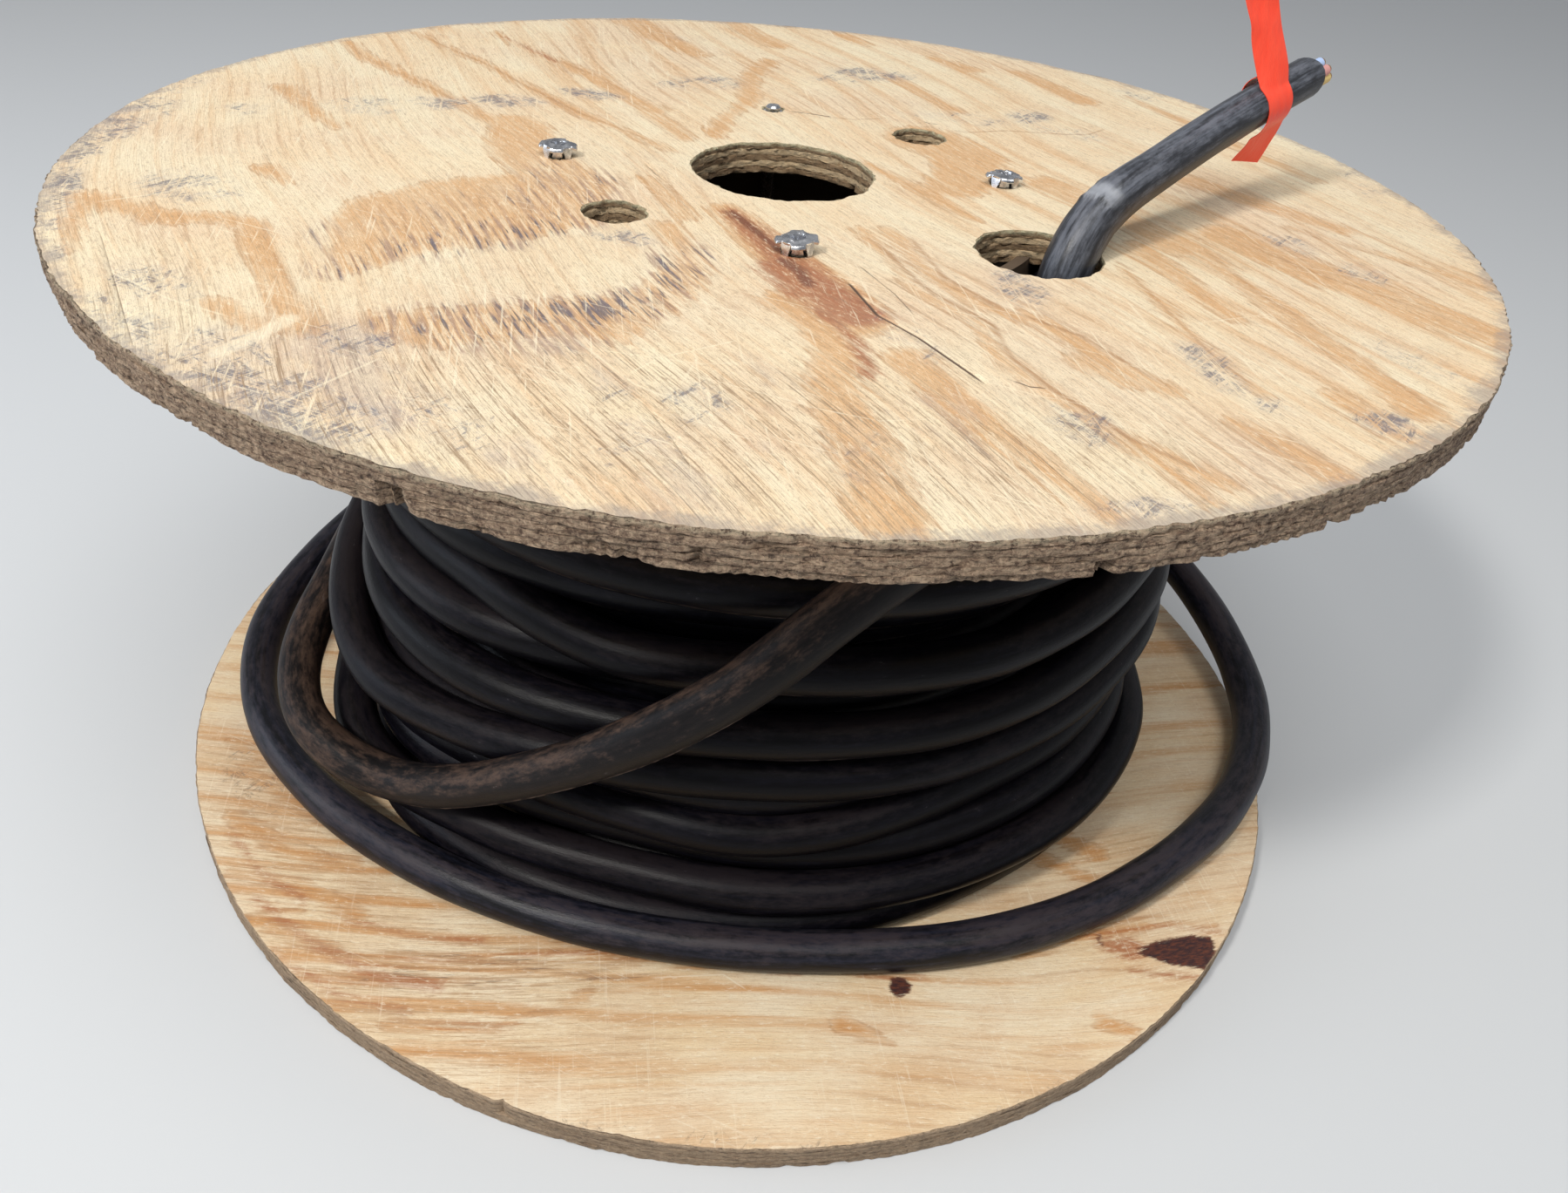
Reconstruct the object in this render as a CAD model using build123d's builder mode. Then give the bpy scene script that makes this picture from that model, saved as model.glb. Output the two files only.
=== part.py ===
"""Plywood cable drum standing on one flange, wound with black power cable."""

import os
from math import cos, floor, radians, sin, tan

from build123d import *

os.makedirs("parts", exist_ok=True)

# Driving sizes of the wooden drum, in millimetres
flange_diameter = 609.6
flange_thickness = 14.0
overall_width = 312.0
arbor_diameter = 82.0
barrel_diameter = 241.0
barrel_wall = 5.0
groove_depth = 3.0
groove_clearance = 0.2
bolt_inset = 13.9
bolt_turn = 4.5
drive_hole_diameter = 25.4
drive_hole_margin = 2.8
drive_hole_turn = 48.0
start_hole_diameter = 50.8
start_hole_reach = 11.5
start_hole_turn = -36.5

# Driving sizes of the bolts and tee nuts
bolt_diameter = 7.9
bolt_hole_diameter = 8.7
bolt_tip_rise = 2.0
bolt_head_diameter = 18.0
bolt_head_height = 4.0
bolt_head_recess = 0.6
head_clearance = 0.4
thread_clearance = 0.05
tee_flange_diameter = 20.0
tee_flange_thickness = 1.6
tee_barrel_diameter = 10.0
tee_barrel_length = 9.5
tee_barrel_clearance = 0.3
prong_width = 5.0
prong_thickness = 1.4
prong_length = 7.0
prong_notch = 3.0
prong_clearance = 0.1
sunk_clearance = 0.4
tee_nut_rises = (4.0, 4.5, 3.5, -2.6)
tee_nut_turns = (180.0, 270.0, 0.0, 90.0)

# Driving sizes of the cable and its marker
cable_diameter = 21.0
layer_count = 4
layer_pitch = 18.2
winding_clearance = 0.3
turn_spread = 1.02
turn_bevel = 6.0
end_notch = 4.0
loose_turn_sides = 12
inner_end_sides = 24
marker_width = 19.0
marker_thickness = 1.0
marker_setback = 16.5
marker_height = 60.0
marker_tail = 30.0

# Heights and radii worked out from the driving sizes
top_underside = overall_width - flange_thickness
flange_radius = flange_diameter / 2
barrel_radius = barrel_diameter / 2
barrel_bore_radius = barrel_radius - barrel_wall
bolt_circle_radius = barrel_bore_radius - bolt_inset
drive_hole_radius = barrel_bore_radius - drive_hole_margin - drive_hole_diameter / 2
start_hole_radius = barrel_radius + start_hole_reach
cable_radius = cable_diameter / 2
winding_bore_radius = barrel_radius + winding_clearance
winding_base = flange_thickness + winding_clearance
winding_top = top_underside - winding_clearance
head_seat = bolt_head_height + bolt_head_recess


def polar(radius, angle, height=0.0):
    """Point at a radius and an angle, in degrees, about the drum's axis."""
    return (radius * cos(radians(angle)), radius * sin(radians(angle)), height)


bolt_places = [polar(bolt_circle_radius, turn + bolt_turn) for turn in tee_nut_turns]
drive_places = [polar(radius, drive_hole_turn) for radius in (drive_hole_radius, -drive_hole_radius)]
start_place = polar(start_hole_radius, start_hole_turn)


# Bottom flange: a plywood disc with the bolt heads let into its outer face
with BuildPart() as bottom_flange:
    with BuildSketch():
        Circle(flange_radius)
        Circle(arbor_diameter / 2, mode=Mode.SUBTRACT)
        with Locations(*drive_places):
            Circle(drive_hole_diameter / 2, mode=Mode.SUBTRACT)
    extrude(amount=flange_thickness)
    with BuildSketch(Plane.XY.offset(flange_thickness)):
        Circle(barrel_radius + groove_clearance)
        Circle(barrel_bore_radius - groove_clearance, mode=Mode.SUBTRACT)
    extrude(amount=-groove_depth, mode=Mode.SUBTRACT)
    with Locations(*bolt_places):
        Hole(bolt_hole_diameter / 2)
    with BuildSketch():
        with Locations(*bolt_places):
            Circle(bolt_head_diameter / 2 + head_clearance)
    extrude(amount=head_seat, mode=Mode.SUBTRACT)

# Top flange: the same disc with the start hole that the cable's inner end comes up through
with BuildPart() as top_flange:
    with BuildSketch(Plane.XY.offset(top_underside)):
        Circle(flange_radius)
        Circle(arbor_diameter / 2, mode=Mode.SUBTRACT)
        with Locations(*drive_places):
            Circle(drive_hole_diameter / 2, mode=Mode.SUBTRACT)
        with Locations(start_place):
            Circle(start_hole_diameter / 2, mode=Mode.SUBTRACT)
    extrude(amount=flange_thickness)
    with BuildSketch(Plane.XY.offset(top_underside)):
        Circle(barrel_radius + groove_clearance)
        Circle(barrel_bore_radius - groove_clearance, mode=Mode.SUBTRACT)
    extrude(amount=groove_depth, mode=Mode.SUBTRACT)
    with Locations(*bolt_places):
        Hole(tee_barrel_diameter / 2 + tee_barrel_clearance)
    for place, rise, turn in zip(bolt_places, tee_nut_rises, tee_nut_turns):
        prong_reach = prong_length - tee_flange_thickness - rise + prong_clearance
        with BuildSketch(Plane.XY.offset(overall_width)):
            with Locations(place):
                with PolarLocations(
                    tee_flange_diameter / 2 - prong_notch - prong_thickness / 2,
                    4,
                    start_angle=turn + bolt_turn + 45,
                ):
                    Rectangle(prong_thickness + 2 * prong_clearance, prong_width + 2 * prong_clearance)
        extrude(amount=-prong_reach, mode=Mode.SUBTRACT)
        if rise < 0:
            with BuildSketch(Plane.XY.offset(overall_width)):
                with Locations(place):
                    Circle(tee_flange_diameter / 2 + sunk_clearance)
            extrude(amount=rise, mode=Mode.SUBTRACT)

# Barrel: the tube that the cable is wound on, let into a groove in each flange
with BuildPart() as barrel:
    with BuildSketch(Plane.XY.offset(flange_thickness - groove_depth)):
        Circle(barrel_radius)
        Circle(barrel_bore_radius, mode=Mode.SUBTRACT)
    extrude(amount=overall_width - 2 * (flange_thickness - groove_depth))

# Winding: the layers of cable as one turned ring, bevelled where its turns show
turn_room = winding_top - winding_base
turns = floor(turn_room / (cable_diameter * turn_spread))
turn_pitch = turn_room / turns
winding_radius = winding_bore_radius + cable_diameter + layer_pitch * (layer_count - 1)
valley_radius = winding_radius - turn_bevel
layer_joints = [winding_bore_radius + cable_radius + layer_pitch * (layer + 0.5) for layer in range(layer_count - 1)]
winding_outline = [(winding_bore_radius, winding_base)]
for joint in layer_joints:
    winding_outline += [
        (joint - end_notch, winding_base),
        (joint, winding_base + end_notch),
        (joint + end_notch, winding_base),
    ]
for turn in range(turns):
    turn_base = winding_base + turn_pitch * turn
    winding_outline += [
        (valley_radius, turn_base),
        (winding_radius, turn_base + turn_bevel),
        (winding_radius, turn_base + turn_pitch - turn_bevel),
    ]
winding_outline.append((valley_radius, winding_top))
for joint in reversed(layer_joints):
    winding_outline += [
        (joint + end_notch, winding_top),
        (joint, winding_top - end_notch),
        (joint - end_notch, winding_top),
    ]
winding_outline.append((winding_bore_radius, winding_top))
with BuildPart() as cable_winding:
    with BuildSketch(Plane.XZ):
        with BuildLine():
            Polyline(*winding_outline, close=True)
        make_face()
    revolve(axis=Axis.Z)


def through_bolt(place):
    """Round-headed bolt whose head seats in the bottom flange and whose tip ends in the tee nut."""
    with BuildPart() as bolt:
        with BuildSketch(Plane.XY.offset(bolt_head_recess)):
            with Locations(place):
                Circle(bolt_head_diameter / 2)
        extrude(amount=bolt_head_height)
        chamfer(bolt.faces().sort_by(Axis.Z)[0].edges(), bolt_head_height / 2)
        with BuildSketch(Plane.XY.offset(head_seat)):
            with Locations(place):
                Circle(bolt_diameter / 2)
        extrude(amount=overall_width + bolt_tip_rise - head_seat)
        chamfer(bolt.faces().sort_by(Axis.Z)[-1].edges(), bolt_diameter / 8)
    return bolt


def tee_nut(place, rise, turn):
    """Pronged tee nut: a notched round flange on a threaded barrel, its four prongs bent down."""
    underside = overall_width + rise
    with BuildPart() as nut:
        with BuildSketch(Plane.XY.offset(underside)):
            with Locations(place):
                Circle(tee_flange_diameter / 2)
                with PolarLocations(tee_flange_diameter / 2, 4, start_angle=turn + 45):
                    Rectangle(2 * prong_notch, prong_width, mode=Mode.SUBTRACT)
        extrude(amount=tee_flange_thickness)
        with BuildSketch(Plane.XY.offset(underside)):
            with Locations(place):
                Circle(tee_barrel_diameter / 2)
        extrude(amount=-tee_barrel_length)
        with BuildSketch(Plane.XY.offset(underside + tee_flange_thickness)):
            with Locations(place):
                with PolarLocations(
                    tee_flange_diameter / 2 - prong_notch - prong_thickness / 2, 4, start_angle=turn + 45
                ):
                    Rectangle(prong_thickness, prong_width)
        extrude(amount=-prong_length)
        with BuildSketch(Plane.XY.offset(underside + tee_flange_thickness)):
            with Locations(place):
                Circle(bolt_diameter / 2 + thread_clearance)
        extrude(amount=-tee_flange_thickness - tee_barrel_length, mode=Mode.SUBTRACT)
    return nut


through_bolts = [through_bolt(place) for place in bolt_places]
tee_nuts = [
    tee_nut(place, rise, turn + bolt_turn)
    for place, rise, turn in zip(bolt_places, tee_nut_rises, tee_nut_turns)
]


# Lower loose turn: slipped off the winding, lying on the bottom flange and past its rim
lower_route = [
    (-25.0, 205.8, 104.0),
    (-78.0, 200.0, 100.0),
    (-131.0, 183.0, 93.0),
    (-181.0, 146.0, 83.0),
    (-219.0, 95.0, 72.0),
    (-244.0, 42.0, 58.0),
    (-262.0, -14.0, 44.0),
    (-262.0, -68.0, 32.0),
    (-236.0, -111.0, 26.0),
    (-190.0, -152.0, 25.0),
    (-134.0, -184.0, 25.0),
    (-72.0, -204.0, 25.0),
    (-7.0, -211.0, 25.0),
    (56.0, -207.0, 25.0),
    (117.0, -191.0, 25.0),
    (175.0, -164.0, 25.0),
    (230.0, -124.0, 25.0),
    (272.0, -78.0, 25.0),
    (303.0, -22.0, 27.0),
    (308.0, 34.0, 33.0),
    (291.0, 90.0, 45.0),
    (256.0, 140.0, 62.0),
    (209.0, 181.0, 82.0),
    (156.0, 208.0, 102.0),
    (104.0, 211.0, 116.0),
    (53.8, 200.3, 124.0),
]

# Upper loose turn: hangs out at the left and climbs across the front to the top of the winding
upper_route = [
    (-71.0, 195.4, 135.0),
    (-124.0, 171.5, 131.0),
    (-168.0, 129.0, 125.0),
    (-203.0, 77.0, 116.0),
    (-227.0, 19.0, 104.0),
    (-238.0, -38.0, 86.0),
    (-231.0, -83.0, 66.0),
    (-203.0, -121.0, 54.0),
    (-163.0, -154.0, 60.0),
    (-118.0, -183.0, 86.0),
    (-72.0, -205.0, 122.0),
    (-30.0, -217.0, 158.0),
    (6.0, -220.0, 192.0),
    (38.0, -215.0, 228.0),
    (72.0, -203.0, 256.0),
    (112.0, -181.0, 274.0),
    (152.0, -150.0, 283.0),
    (177.6, -106.9, 286.0),
]

# Inner end: comes up through the start hole, leans over and stops at its cut face
inner_route = [
    (116.0, -84.5, winding_top),
    (116.0, -84.5, 314.0),
    (126.0, -71.0, 331.0),
    (159.0, -37.0, 343.0),
    (193.0, -3.0, 352.0),
    (229.0, 31.0, 362.0),
]


def corner_radii(route):
    """Largest tangent arc that each corner of a cable's route has room for."""
    points = [Vector(*point) for point in route]
    radii = []
    for before, corner, after in zip(points, points[1:], points[2:]):
        turn = (corner - before).get_angle(after - corner)
        shorter_run = min((corner - before).length, (after - corner).length)
        radii.append(0.45 * shorter_run / tan(radians(turn) / 2))
    return radii


def cable_tube(route, sides):
    """Many-sided tube of the cable along a route of straight runs joined by tangent arcs."""
    radii = corner_radii(route)
    with BuildPart() as tube:
        with BuildLine():
            path = FilletPolyline(*route, radius=radii)
        with BuildSketch(Plane(origin=path @ 0, z_dir=path % 0)) as section:
            RegularPolygon(cable_radius, sides)
        sweep(path=path)
    straight_volume = path.length * section.sketch.area
    print(f"length {path.length:.0f} mm, radii {min(radii):.0f} to {max(radii):.0f} mm")
    print(f"volume over section times length {tube.part.volume / straight_volume:.4f}")
    return tube


lower_loose_turn = cable_tube(lower_route, loose_turn_sides)
upper_loose_turn = cable_tube(upper_route, loose_turn_sides)
inner_cable_end = cable_tube(inner_route, inner_end_sides)

# Marker strip: one flat band round the cable's end, standing up at the front with a short tail
cable_end = Vector(*inner_route[-1])
cable_heading = (cable_end - Vector(*inner_route[-2])).normalized()
across = cable_heading.cross(Vector(0, 0, 1)).normalized()
marker_plane = Plane(
    origin=cable_end - cable_heading * (marker_setback + marker_width / 2),
    x_dir=across,
    z_dir=cable_heading,
)
band_radius = cable_radius + marker_thickness
with BuildPart() as marker_strip:
    with BuildSketch(marker_plane):
        Circle(band_radius)
        with Locations((cable_radius + marker_thickness / 2, 0)):
            Rectangle(marker_thickness, marker_height, align=(Align.CENTER, Align.MAX))
            Rectangle(marker_thickness, marker_tail, align=(Align.CENTER, Align.MIN))
        Circle(cable_radius, mode=Mode.SUBTRACT)
    extrude(amount=marker_width)

pieces = {
    "bottom_flange": bottom_flange,
    "top_flange": top_flange,
    "barrel": barrel,
    "cable_winding": cable_winding,
    "lower_loose_turn": lower_loose_turn,
    "upper_loose_turn": upper_loose_turn,
    "inner_cable_end": inner_cable_end,
    "marker_strip": marker_strip,
}
for number, (bolt, nut) in enumerate(zip(through_bolts, tee_nuts), start=1):
    pieces[f"through_bolt_{number}"] = bolt
    pieces[f"tee_nut_{number}"] = nut

for name, piece in pieces.items():
    piece.part.label = name
    export_step(piece.part, f"parts/{name}.step")
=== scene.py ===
"""Looks of a plywood cable drum that stands on one flange, wound with thick black power cable."""

import math

import bpy
import numpy as np
from mathutils import Matrix, Vector
from mathutils.geometry import delaunay_2d_cdt


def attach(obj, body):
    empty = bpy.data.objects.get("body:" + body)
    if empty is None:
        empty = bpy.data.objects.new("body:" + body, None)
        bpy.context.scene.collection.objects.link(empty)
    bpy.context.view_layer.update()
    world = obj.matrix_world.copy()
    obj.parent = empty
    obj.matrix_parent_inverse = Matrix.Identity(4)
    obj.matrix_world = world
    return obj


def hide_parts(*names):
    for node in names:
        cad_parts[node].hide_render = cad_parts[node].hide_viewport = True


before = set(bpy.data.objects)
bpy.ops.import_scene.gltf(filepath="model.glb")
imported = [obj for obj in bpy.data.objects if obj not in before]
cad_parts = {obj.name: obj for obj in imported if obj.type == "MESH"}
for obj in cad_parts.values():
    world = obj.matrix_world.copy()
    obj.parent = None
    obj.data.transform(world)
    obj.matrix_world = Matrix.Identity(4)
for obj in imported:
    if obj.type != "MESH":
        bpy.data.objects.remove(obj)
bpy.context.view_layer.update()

# The two flanges: round discs of five-ply softwood plywood, 14 mm thick, with roughly sawn rims.
# The top one is old stock, scuffed and greyed, with a torn lower edge; the bottom one is fresher.
# Their holes are bored through all plies, and bolts through both flanges clamp the barrel between them.
per_metre = 1000  # marks, stations and routes below are in millimetres
flange_radius = 0.3048
flange_thickness = 0.014
drum_height = 0.312
ply_count = 5
arbor_radius = 0.041
drive_hole_radius = 0.0127
start_hole_radius = 0.0254
bolt_hole_radius = 0.0052
bolt_circle = 0.1016
bolt_lead = 4.5
bolt_turns = [math.radians(degrees + bolt_lead) for degrees in (180, 270, 0, 90)]
bolt_places = [(bolt_circle * math.cos(turn), bolt_circle * math.sin(turn)) for turn in bolt_turns]
drive_turn = math.radians(48)
drive_places = [(reach * math.cos(drive_turn), reach * math.sin(drive_turn)) for reach in (0.1, -0.1)]
start_turn = math.radians(-36.5)
start_reach = 0.132
start_place = (start_reach * math.cos(start_turn), start_reach * math.sin(start_turn))


def wander(turns, seed, lowest, highest, depth):
    """Smooth random in-and-out round a closed outline, with that many waves, in metres."""
    draw = np.random.default_rng(seed)
    waves = np.arange(lowest, max(highest, lowest + 9))
    phases = draw.uniform(0, 2 * math.pi, waves.size)
    weights = draw.normal(size=waves.size) / np.sqrt(waves)
    curve = (weights[:, None] * np.cos(waves[:, None] * turns + phases[:, None])).sum(0)
    return depth * curve / np.sqrt((weights**2).sum() / 2)


def smooth(value):
    """A step from 0 to 1 with soft ends."""
    value = np.clip(value, 0, 1)
    return value * value * (3 - 2 * value)


def polar(reach, turns, height, centre=(0.0, 0.0)):
    """Places at a reach and turn about an upright axis."""
    across, along = centre[0] + reach * np.cos(turns), centre[1] + reach * np.sin(turns)
    return np.column_stack([across, along, height])


def unit(vector):
    """A vector, or rows of them, at a length of 1."""
    return vector / np.linalg.norm(vector, axis=-1, keepdims=True)


# How far up a ply each ring of its sawn edge lies, and how much of the gap beside the glue line it has.
ply_profile = ((0.03, 1.0), (0.18, 0.15), (0.5, 0.0), (0.82, 0.15), (0.97, 1.0))
corner_spacing = 0.0014
saw_depth = 0.00022
saw_tooth = 0.00016
fibre_depth = 0.00017
tear_depth = 0.0007
glue_gap = 0.0003
lowest_ply_tears = 2.2
other_ply_tears = 0.7
lower_arris = 0.0004
upper_arris = 0.0005
wall_inset = 0.0003
rim_overshoot = 0.0002


def ply_wall(centre, radius, side, bottom, wear, seed, chips=()):
    """Rings up a sawn ply edge: side 1 for a rim, -1 for a hole. wear is how torn its plies are. Each chip
    is its turn in degrees, half its width, its depth, and its lowest and highest ply."""
    count = max(48, int(2 * math.pi * radius / corner_spacing))
    turns = np.linspace(0, 2 * math.pi, count, endpoint=False)
    ply = flange_thickness / ply_count
    top = bottom + flange_thickness
    leaning = wander(turns, seed + 90, 2, 14, saw_depth)
    rings = []
    for layer in range(ply_count):
        rough = wander(turns, seed + layer, 9, count // 20, saw_depth)
        rough = rough + wander(turns, seed + 20 + layer, count // 20, count // 3, saw_tooth)
        torn = np.maximum(wander(turns, seed + 40 + layer, 14, count // 6, tear_depth) - tear_depth, 0)
        rough = rough - torn * (lowest_ply_tears if layer == 0 else other_ply_tears)
        gap = glue_gap * smooth(0.5 + wander(turns, seed + 110 + layer, 5, 60, 0.7))
        for share, inset in ply_profile:
            fine_seed = seed + 60 + 7 * layer + int(share * 50)
            fine = wander(turns, fine_seed, count // 16, count // 3, fibre_depth)
            reach = radius + side * ((rough + fine + leaning) * wear - inset * gap * wear - wall_inset)
            for chip_turn, chip_width, chip_depth, low_ply, high_ply in chips:
                if low_ply <= layer <= high_ply:
                    aside = (turns - math.radians(chip_turn) + math.pi) % (2 * math.pi) - math.pi
                    broken = np.clip(1.6 * (1 - np.abs(aside) * radius / chip_width), 0, 1)
                    reach -= side * chip_depth * broken * (0.8 + 0.4 * np.cos(turns * 900))
            level = np.full(count, bottom + ply * (layer + share))
            level = np.clip(level + wander(turns, seed + 130 + layer, 8, 50, saw_depth), bottom, top)
            if layer == 0 and share < 0.1:
                level = np.full(count, bottom)
                reach -= side * lower_arris
            if layer == ply_count - 1 and share > 0.9:
                level = np.full(count, top)
                reach -= side * upper_arris
            reach = np.minimum(reach, flange_radius + rim_overshoot)
            rings.append(polar(reach, turns, level, centre))
    return rings


def inside_ring(points, ring, centre):
    """Which points lie within a ring that is seen whole from its centre."""
    outline = np.hypot(ring[:, 0] - centre[0], ring[:, 1] - centre[1])
    turns = np.arctan2(ring[:, 1] - centre[1], ring[:, 0] - centre[0])
    order = np.argsort(turns)
    at = np.arctan2(points[:, 1] - centre[1], points[:, 0] - centre[0])
    reach = np.interp(at, turns[order], outline[order], period=2 * math.pi)
    return np.hypot(points[:, 0] - centre[0], points[:, 1] - centre[1]) < reach


def face_triangles(rings, centres, loose_points):
    """Triangles of a ply's face between its rim, the first ring, and its holes."""
    points = [ring[:, :2] for ring in rings] + [loose_points]
    starts = np.cumsum([0] + [len(ring) for ring in rings])
    edges = []
    for start, ring in zip(starts, rings):
        edges += [(start + i, start + (i + 1) % len(ring)) for i in range(len(ring))]
    flat = np.concatenate(points) * per_metre
    made = delaunay_2d_cdt([Vector(p) for p in flat], [tuple(map(int, e)) for e in edges], [], 0, 1e-5)
    places = np.array([(v.x, v.y) for v in made[0]]) / per_metre
    triangles = np.array([f for f in made[2] if len(f) == 3])
    middles = places[triangles].mean(1)
    keep = inside_ring(middles, rings[0], centres[0])
    for ring, centre in zip(rings[1:], centres[1:]):
        keep &= ~inside_ring(middles, ring, centre)
    return places, triangles[keep]


def hex_points(spacing, outer, inner=0.0):
    """Evenly spread points over a ring-shaped area."""
    steps = int(outer / spacing) + 2
    across, along = np.meshgrid(np.arange(-steps, steps + 1), np.arange(-steps * 2, steps * 2 + 1))
    spread = np.stack([(across + 0.5 * (along % 2)) * spacing, along * spacing * 0.866], -1).reshape(-1, 2)
    reach = np.hypot(spread[:, 0], spread[:, 1])
    return spread[(reach < outer) & (reach >= inner)]


def near_line(points, line):
    """Distance from each point to a bent line of places in millimetres, and how far along it that is."""
    route = np.array(line, float) / per_metre
    best = np.full(len(points), 9.0)
    along = np.zeros(len(points))
    gone = 0.0
    for start, end in zip(route, route[1:]):
        run = end - start
        length = np.hypot(*run)
        share = np.clip(((points - start) @ run) / length**2, 0, 1)
        away = np.hypot(*(points - start - share[:, None] * run).T)
        closer = away < best
        best[closer] = away[closer]
        along[closer] = gone + share[closer] * length
        gone += length
    return best, along / gone


def patches(points, places):
    """How strongly a mark covers each point: soft ellipses of x, y, length, width in mm, turn, strength."""
    cover = np.zeros(len(points))
    for x, y, length, width, turn, strength in places:
        turn = math.radians(turn)
        aside = points - np.array([x, y]) / per_metre
        half_length, half_width = length / 2 / per_metre, width / 2 / per_metre
        u = (aside[:, 0] * math.cos(turn) + aside[:, 1] * math.sin(turn)) / half_length
        v = (-aside[:, 0] * math.sin(turn) + aside[:, 1] * math.cos(turn)) / half_width
        cover = np.maximum(cover, strength * smooth(1.5 - np.hypot(u, v)))
    return cover


def border(points, outlines, bands, reach=0.024):
    """Closeness to figure in the wood: 0.5 on its border, more inside. Outlines are closed, and bands are
    bent lines with a width at each end, all in millimetres."""
    best = np.full(len(points), -1.0)
    for outline in outlines:
        away, _ = near_line(points, [*outline, outline[0]])
        corners = np.array(outline, float) / per_metre
        inside = np.zeros(len(points), bool)
        for (x0, y0), (x1, y1) in zip(corners, np.roll(corners, -1, 0)):
            spans = (y0 > points[:, 1]) != (y1 > points[:, 1])
            inside ^= spans & (points[:, 0] < (x1 - x0) * (points[:, 1] - y0) / (y1 - y0 + 1e-12) + x0)
        best = np.maximum(best, np.where(inside, away, -away))
    for first, last, line in bands:
        away, along = near_line(points, line)
        best = np.maximum(best, (first + (last - first) * along) / 2 / per_metre - away)
    return np.clip(0.5 + best / reach, 0, 1)


def fine_lines(points, lines):
    """How strongly thin lines cover each point: each has a width in mm, a strength and a bent line."""
    cover = np.zeros(len(points))
    for width, strength, line in lines:
        away, along = near_line(points, line)
        taper = smooth(along / 0.12) * smooth((1 - along) / 0.12)
        cover = np.maximum(cover, strength * taper * np.clip(1.35 - away / (width / 2 / per_metre), 0, 1))
    return cover


def ring_faces(rings, count, first=0, closed=False):
    """Faces between rings of that many corners, each joined to the next, and the last to the first if the
    row of rings is closed."""
    level = first + count * np.arange(rings)[:, None]
    low, high = (level, np.roll(level, -1, 0)) if closed else (level[:-1], level[1:])
    here = np.arange(count)
    beside = (here + 1) % count
    return np.stack([low + here, low + beside, high + beside, high + here], -1).reshape(-1, 4)


def add_object(name, data):
    """Puts a mesh, lamp or camera into the scene."""
    made = bpy.data.objects.new(name, data)
    bpy.context.scene.collection.objects.link(made)
    return made


def mesh_piece(name, corners, faces, crease):
    """A smooth piece, with sharp edges where its faces meet at more than that many degrees."""
    mesh = bpy.data.meshes.new(name)
    mesh.from_pydata(np.asarray(corners).tolist(), [], faces)
    mesh.shade_smooth()
    mesh.set_sharp_from_angle(angle=math.radians(crease))
    return add_object(name, mesh)


def hold(piece, name, values):
    """Values held by name at a piece's corners for its finish: numbers, or rows of three."""
    single = values.ndim == 1
    held = piece.data.attributes.new(name, "FLOAT" if single else "FLOAT_VECTOR", "POINT")
    held.data.foreach_set("value" if single else "vector", values.astype(np.float32).ravel())


def fit_piece(piece, node, slot, *finishes):
    """Gives a piece its finishes, hangs it on the root body, and hides the solid of the node that it stands
    for.
    """
    for finish in finishes:
        piece.data.materials.append(finish)
    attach(piece, "root")
    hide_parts(node)


# Free room beside a face's rim, holes and thin lines, and how far apart its loose corners lie.
rim_margin = 0.004
hole_margin = 0.0012
line_margin = 0.0006
line_spacing = 0.0025
underside_spacing = 0.02


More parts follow.
